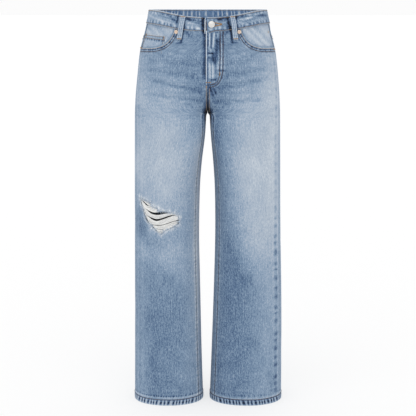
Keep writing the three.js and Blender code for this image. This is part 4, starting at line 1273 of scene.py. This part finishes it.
# Bartacks hold what pulls: loop ends, pocket ends, the coin pocket's corners and the foot of the fly.
tacks = [
    bartack(LEFT, (30.4, -155), (30.2, -163), FLY_LIFT + 0.3),
    bartack(LEFT, (1, -180.5), (8, -180.5), FLY_LIFT + 0.4),
    bartack(RIGHT, (-4.5, -180.5), (-1, -180.5), FLY_LIFT + 0.4),
    bartack(RIGHT, (-3.2, -189), (-3.0, -194), 0.8), bartack(LEFT, (168, -101.5), (173, -101), 1.0),
    bartack(RIGHT, (-156.8, -60.8), (-157, -68), FACING_OUT + 2),
    bartack(RIGHT, (-110, -66.5), (-110.5, -74), FACING_OUT + 2),
    bartack(RIGHT, (-168, -97), (-174, -97), 1.0), bartack(LEFT, (154, -54), (155, -60), 0.6),
]
for name, side, top_turn, foot_turn in LOOPS:
    for v in (0.035, 0.965):
        across = np.linspace(-LOOP_WIDTH / 2 + 0.8, LOOP_WIDTH / 2 - 0.8, 18)
        path = loop_place(side, top_turn, foot_turn, v + 0 * across, across, LOOP_WALL + 0.3)
        above = loop_place(side, top_turn, foot_turn, v + 0 * across, across, LOOP_WALL + 1.3)
        tacks.append(tack_on(row_on(path, above, TACK_PITCH)))
stitched("bartacks", tacks, orange_thread, seed=14)

# The buttonhole: a keyhole worked in close satin stitch, pointed at its far end.
BUTTONHOLE_SIDES = [((15.5, -32.6), (35.5, -35.9)), ((15.5, -41.6), (35.5, -37.4))]
HOLE_STITCH = (2.9, 0.75, 0.9)
hole_rows = []
for start, end in BUTTONHOLE_SIDES:
    line = mix(np.array(start), np.array(end), np.linspace(0, 1, 40)[:, None])
    _, degrees = turn_at(line[:, 0], line[:, 1])
    centres, tangents, normals, *_ = seam_row(LEFT, degrees, line[:, 1], BAND_PROUD + 0.5, TACK_PITCH)
    hole_rows.append((centres, np.cross(normals, tangents), normals, *HOLE_STITCH))
stitched("buttonhole_stitches", hole_rows, orange_thread, seed=15)


# --- Knee threads -------------------------------------------------------------------------------------
# What is left in the rip: the white weft, slack and sagging once its warp has worn away. The threads hang
# from the left edge, run across and have parted into long slits. Each guide is one thread's own way.
GUIDES = [
    [(-177, -481), (-172, -484.5), (-167, -486.5), (-162, -488), (-154, -489.5)],
    [(-173, -484), (-166, -489), (-159, -495), (-148, -500.3), (-134, -503.5)],
    [(-175, -486), (-167, -493.5), (-159.5, -500.2), (-148.5, -502.2), (-132, -504.5)],
    [(-170, -503), (-160, -508.5), (-150, -513.8), (-138, -516), (-126, -514.3)],
    [(-169.5, -504.5), (-159, -511.5), (-149, -519.8), (-138, -523.3), (-125, -523), (-101, -518.5),
     (-84, -519)],
    [(-165.5, -521), (-154, -526.6), (-142, -531), (-131, -533), (-117, -529.6), (-95, -522.6), (-77, -521)],
    [(-165, -522.5), (-154, -530.5), (-143, -537.6), (-131, -540.2), (-117, -536), (-95, -527.4),
     (-75, -523.5)],
    [(-154, -545), (-146, -547.4), (-130, -549), (-117, -547.4), (-102, -542.6), (-87, -538), (-73, -535.5)],
    [(-152, -548), (-144, -550.2), (-130, -552), (-117, -550.2), (-102, -545.4), (-87, -541.2), (-73, -540)],
    [(-137, -558), (-130, -559.5), (-122, -560), (-112, -558.5), (-102, -555), (-92, -552), (-81, -549)],
    [(-137, -560.5), (-130, -562), (-122, -562.4), (-112, -560.8), (-102, -556.4), (-92, -553), (-81, -550)],
    [(-127, -571), (-124, -572.5), (-121, -573), (-118, -571.5), (-114, -568)],
]
BUNDLES = [(0, 1, 7), (2, 3, 11), (4, 5, 11), (6, 7, 13), (8, 9, 7), (10, 11, 9)]
THREAD_POINTS = 26
WEFT_THICK = (1.0, 1.7)


def tubes(paths, outward, radii, sides=5):
    """Vertices and faces of thin tubes along paths; the arrays hold one path each of the same count."""
    tangents = np.gradient(paths, axis=1)
    tangents /= np.linalg.norm(tangents, axis=2, keepdims=True)
    sideways = np.cross(tangents, outward)
    sideways /= np.linalg.norm(sideways, axis=2, keepdims=True)
    upward = np.cross(sideways, tangents)
    angles = np.linspace(0, 2 * math.pi, sides, endpoint=False)
    around = sideways[:, :, None] * np.cos(angles)[:, None] + upward[:, :, None] * np.sin(angles)[:, None]
    points = paths[:, :, None] + around * radii[:, :, None, None]
    count, length = paths.shape[:2]
    index = np.arange(count * length * sides).reshape(count, length, sides)
    turned = np.roll(index, -1, axis=2)
    quads = np.stack([index[:, :-1], index[:, 1:], turned[:, 1:], turned[:, :-1]], axis=-1).reshape(-1, 4)
    return points, quads.tolist() + index[:, 0].tolist() + index[:, -1, ::-1].tolist()


def thread_piece(name, paths, outward, radii, tone, material, sides=5):
    """One mesh of loose threads along paths, each thread with one tone."""
    points, faces = tubes(paths, outward, radii, sides)
    tone = np.broadcast_to(tone[:, None, None], points.shape[:3])
    flat = points.reshape(-1, 3)
    length = np.cumsum(np.linalg.norm(np.diff(paths, axis=1, prepend=paths[:, :1]), axis=2), axis=1)
    uv = np.stack(np.broadcast_arrays(length[:, :, None], np.arange(sides) * 0.8), axis=-1)
    uv = np.broadcast_to(uv, points.shape[:3] + (2,)).reshape(-1, 2) / 1000
    piece = mesh_piece(name, flat, faces, tone, uv, [material])
    recalculate(piece)
    return piece


# Loose cotton yarn is soft and hairy: off-white where it was never dyed, some threads a little greyer than
# others.
HAIRY = ("ShaderNodeTexNoise", {}, {"Scale": 700, "Detail": 2})
HAIRY_FEEL = (0.4, 0.75, 0.3, 0.9, 0.2)
undyed_cotton = yarn("undyed_cotton_weft", "#f6f6f4", "#c2c4c5", HAIRY, HAIRY_FEEL)
faded_warp = yarn("faded_blue_warp", "#dfe8f0", "#6d8cae", HAIRY, HAIRY_FEEL)
random = np.random.default_rng(21)
weft_lines, weft_out = [], []
for upper, lower, count in BUNDLES:
    first, last = (curve_through(GUIDES[k], THREAD_POINTS) for k in (upper, lower))
    for layer in (0, 1):
        for k in range(count):
            share = (k + 0.5 * layer) / (count - 1)
            wander = np.interp(np.linspace(0, 6, THREAD_POINTS), range(7), random.normal(0, 0.45, 7))
            line = mix(first, last, min(share, 1)) + np.stack([0 * wander, wander], axis=1)
            weft_lines.append(line)
            weft_out.append(-0.55 - 0.9 * layer + 0.25 * random.normal(size=THREAD_POINTS).cumsum() / 5)
weft_lines = np.array(weft_lines)
weft_out = np.array(weft_out)
weft_out[:, [0, -1]] -= 0.7
weft_paths = on_front(weft_lines, weft_out)
weft_normals = on_front(weft_lines, weft_out + 1) - weft_paths
weft_radii = random.uniform(*WEFT_THICK, len(weft_lines))[:, None] / 2 * np.ones(THREAD_POINTS)
weft = thread_piece("knee_weft_threads", weft_paths, weft_normals, weft_radii,
                    random.uniform(0.2, 1, len(weft_lines)), undyed_cotton)
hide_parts("knee_weft")

# The frayed edge: short ends of blue warp that stick out over the hole and curl back on the cloth.
FRINGE_COUNT = 640
FRINGE_POINTS = 6
at = random.integers(0, len(rip_line), FRINGE_COUNT)
edge_ahead = np.roll(rip_line, -2, axis=0) - np.roll(rip_line, 2, axis=0)
into_hole = np.stack([edge_ahead[:, 1], -edge_ahead[:, 0]], axis=1)
into_hole /= np.linalg.norm(into_hole, axis=1, keepdims=True)
way = into_hole[at] * np.where(random.uniform(size=FRINGE_COUNT) < 0.62, 1, -1)[:, None]
way = way + random.normal(0, 0.45, way.shape)
curl = np.stack([-way[:, 1], way[:, 0]], axis=1) * random.normal(0, 0.5, FRINGE_COUNT)[:, None]
reach = random.uniform(1.5, 5.5, FRINGE_COUNT)[:, None, None]
u = np.linspace(-0.2, 1, FRINGE_POINTS)[None, :, None]
fringe_lines = rip_line[at][:, None] + reach * (way[:, None] * u + curl[:, None] * u * u)
rise = random.uniform(0.2, 1.6, FRINGE_COUNT)[:, None] * np.sin(np.linspace(0, 2.6, FRINGE_POINTS))[None]
fringe_paths = on_front(fringe_lines, rise)
fringe_normals = on_front(fringe_lines, rise + 1) - fringe_paths
fringe_radii = np.linspace(0.42, 0.2, FRINGE_POINTS)[None] * random.uniform(0.8, 1.3, FRINGE_COUNT)[:, None]
thread_piece("knee_frayed_edge", fringe_paths, fringe_normals, fringe_radii,
             random.uniform(0, 1, FRINGE_COUNT), faded_warp, sides=4)


# --- Button and rivets --------------------------------------------------------------------------------
# A domed tack button of stamped, silver-plated steel, and copper-coloured rivets hammered through the
# pocket ends. Both are pressed from sheet, so every edge is rounded.
def outward_at(side, degrees, z):
    round_form = on_form(side, degrees + 0.5, z) - on_form(side, degrees - 0.5, z)
    down = on_form(side, degrees, z - 2) - on_form(side, degrees, z + 2)
    normal = np.cross(round_form, down)
    normal *= np.sign(np.dot(normal, on_form(side, degrees, z, 1) - on_form(side, degrees, z)))
    return normal / np.linalg.norm(normal)


def stamped_disc(name, side, degrees, z, foot, radius, height, steps, material):
    """A turned metal disc on the cloth: its face is inset and raised step by step, all in millimetres."""
    normal = Vector(outward_at(side, degrees, z))
    centre = Vector(on_form(side, degrees, z)) + normal * (foot + height / 2)
    bpy.ops.object.select_all(action="DESELECT")
    upright = normal.to_track_quat("Z", "Y").to_euler()
    bpy.ops.mesh.primitive_cylinder_add(vertices=48, radius=radius / 1000, depth=height / 1000,
                                        location=centre / 1000, rotation=upright)
    disc = bpy.context.object
    disc.name = name
    bpy.ops.object.transform_apply(location=True, rotation=True, scale=True)
    bpy.ops.object.mode_set(mode="EDIT")
    bpy.ops.mesh.select_mode(type="FACE")
    bpy.ops.mesh.select_all(action="DESELECT")
    work = bmesh.from_edit_mesh(disc.data)
    for face in work.faces:
        face.select = len(face.verts) > 4 and face.normal.dot(normal) > 0.9
    bmesh.update_edit_mesh(disc.data)
    for inset, rise in steps:
        bpy.ops.mesh.inset(thickness=inset / 1000)
        bpy.ops.transform.translate(value=normal * rise / 1000)
    bpy.ops.object.mode_set(mode="OBJECT")
    rounding = disc.modifiers.new("rounded", "BEVEL")
    rounding.width = 0.22 / 1000
    rounding.segments = 2
    bpy.ops.object.modifier_apply(modifier="rounded")
    bpy.ops.object.shade_smooth_by_angle(angle=math.radians(50))
    disc.data.materials.append(material)
    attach(disc, "root")
    return disc


def metal(name, colour, worn, roughness):
    """Plated metal that hands have rubbed: bright, with fine scuffs that are a little duller and darker."""
    material, tree, shader = new_material(name)
    place = node(tree, "ShaderNodeTexCoord").outputs["Object"]
    scuffs = node(tree, "ShaderNodeTexNoise", Vector=place, Scale=900, Detail=4, Roughness=0.65)
    shade = node(tree, "ShaderNodeMapRange", _0=scuffs.outputs[0], _1=0.35, _2=0.7)
    mixed = node(tree, "ShaderNodeMix", {"data_type": "RGBA"}, _0=shade.outputs[0], _6=linear(colour),
                 _7=linear(worn))
    rough = node(tree, "ShaderNodeMapRange", _0=scuffs.outputs[0], _3=roughness - 0.08, _4=roughness + 0.12)
    bumped = node(tree, "ShaderNodeBump", Height=scuffs.outputs[0], Strength=0.2, Distance=0.0001)
    tree.links.new(mixed.outputs[2], shader.inputs["Base Color"])
    tree.links.new(rough.outputs[0], shader.inputs["Roughness"])
    tree.links.new(bumped.outputs[0], shader.inputs["Normal"])
    shader.inputs["Metallic"].default_value = 1
    return material


BUTTON_STEPS = [(0.5, 0.7), (0.9, 0.5), (0.35, -0.35), (0.5, 0.0), (0.35, 0.45), (1.6, 0.35), (1.6, 0.15),
                (0.35, -0.25), (0.4, 0.25)]
plated_steel = metal("silver_plated_steel", "#e9e8e6", "#c9c7c4", 0.34)
button = stamped_disc("tack_button", LEFT, 4.2, -37, BAND_PROUD + 0.45, 8.6, 1.2, BUTTON_STEPS, plated_steel)
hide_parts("button")
RIVET_STEPS = [(0.6, 0.6), (0.9, 0.3), (1.1, -0.25), (0.35, -0.7), (0.5, 0), (0.3, 0.7)]
RIVET_TURN = 50.5
copper = metal("washed_copper", "#ecdccd", "#cfb39d", 0.38)
for side, name in ((RIGHT, "right"), (LEFT, "left")):
    rivet = stamped_disc(f"pocket_rivet_{name}", side, RIVET_TURN, band_foot(RIVET_TURN) - 7, 0.35, 4.9, 0.9,
                         RIVET_STEPS, copper)
    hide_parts(f"rivet_{name}")

# --- Stage --------------------------------------------------------------------------------------------
# A wide pale floor under the hems, a white room and a soft light from above the camera.
FLOOR_REACH = 400
FLOOR_GLOW = 0.625
pale_floor, _, shader = new_material("pale_floor")
shader.inputs["Base Color"].default_value = linear("#9c9c9c")
shader.inputs["Roughness"].default_value = 0.9
shader.inputs["Specular IOR Level"].default_value = 0.1
shader.inputs["Emission Color"].default_value = linear("#ffffff")
shader.inputs["Emission Strength"].default_value = FLOOR_GLOW
bpy.ops.object.select_all(action="DESELECT")
bpy.ops.mesh.primitive_plane_add(size=FLOOR_REACH, location=(0, 0, HEM / 1000))
floor = bpy.context.object
floor.name = "floor"
floor.data.materials.append(pale_floor)

world = bpy.data.worlds.new("white_room")
world.use_nodes = True
world.node_tree.nodes["Background"].inputs[0].default_value = linear("#fcfcfc")
world.node_tree.nodes["Background"].inputs[1].default_value = 1.0
bpy.context.scene.world = world

sun = bpy.data.objects.new("soft_light", bpy.data.lights.new("soft_light", "SUN"))
sun.data.energy = 0.5
sun.data.angle = math.radians(70)
sun.rotation_euler = (math.radians(38), 0, math.radians(-14))
bpy.context.scene.collection.objects.link(sun)

camera = bpy.data.objects.new("camera", bpy.data.cameras.new("camera"))
camera.location = (0.0008, -2.9, 0)
camera.rotation_euler = (math.radians(90 - 10.18), 0, 0)
camera.data.lens = 95.7
camera.data.sensor_width = 36
bpy.context.scene.collection.objects.link(camera)
bpy.context.scene.camera = camera
bpy.context.scene.view_settings.view_transform = "Standard"
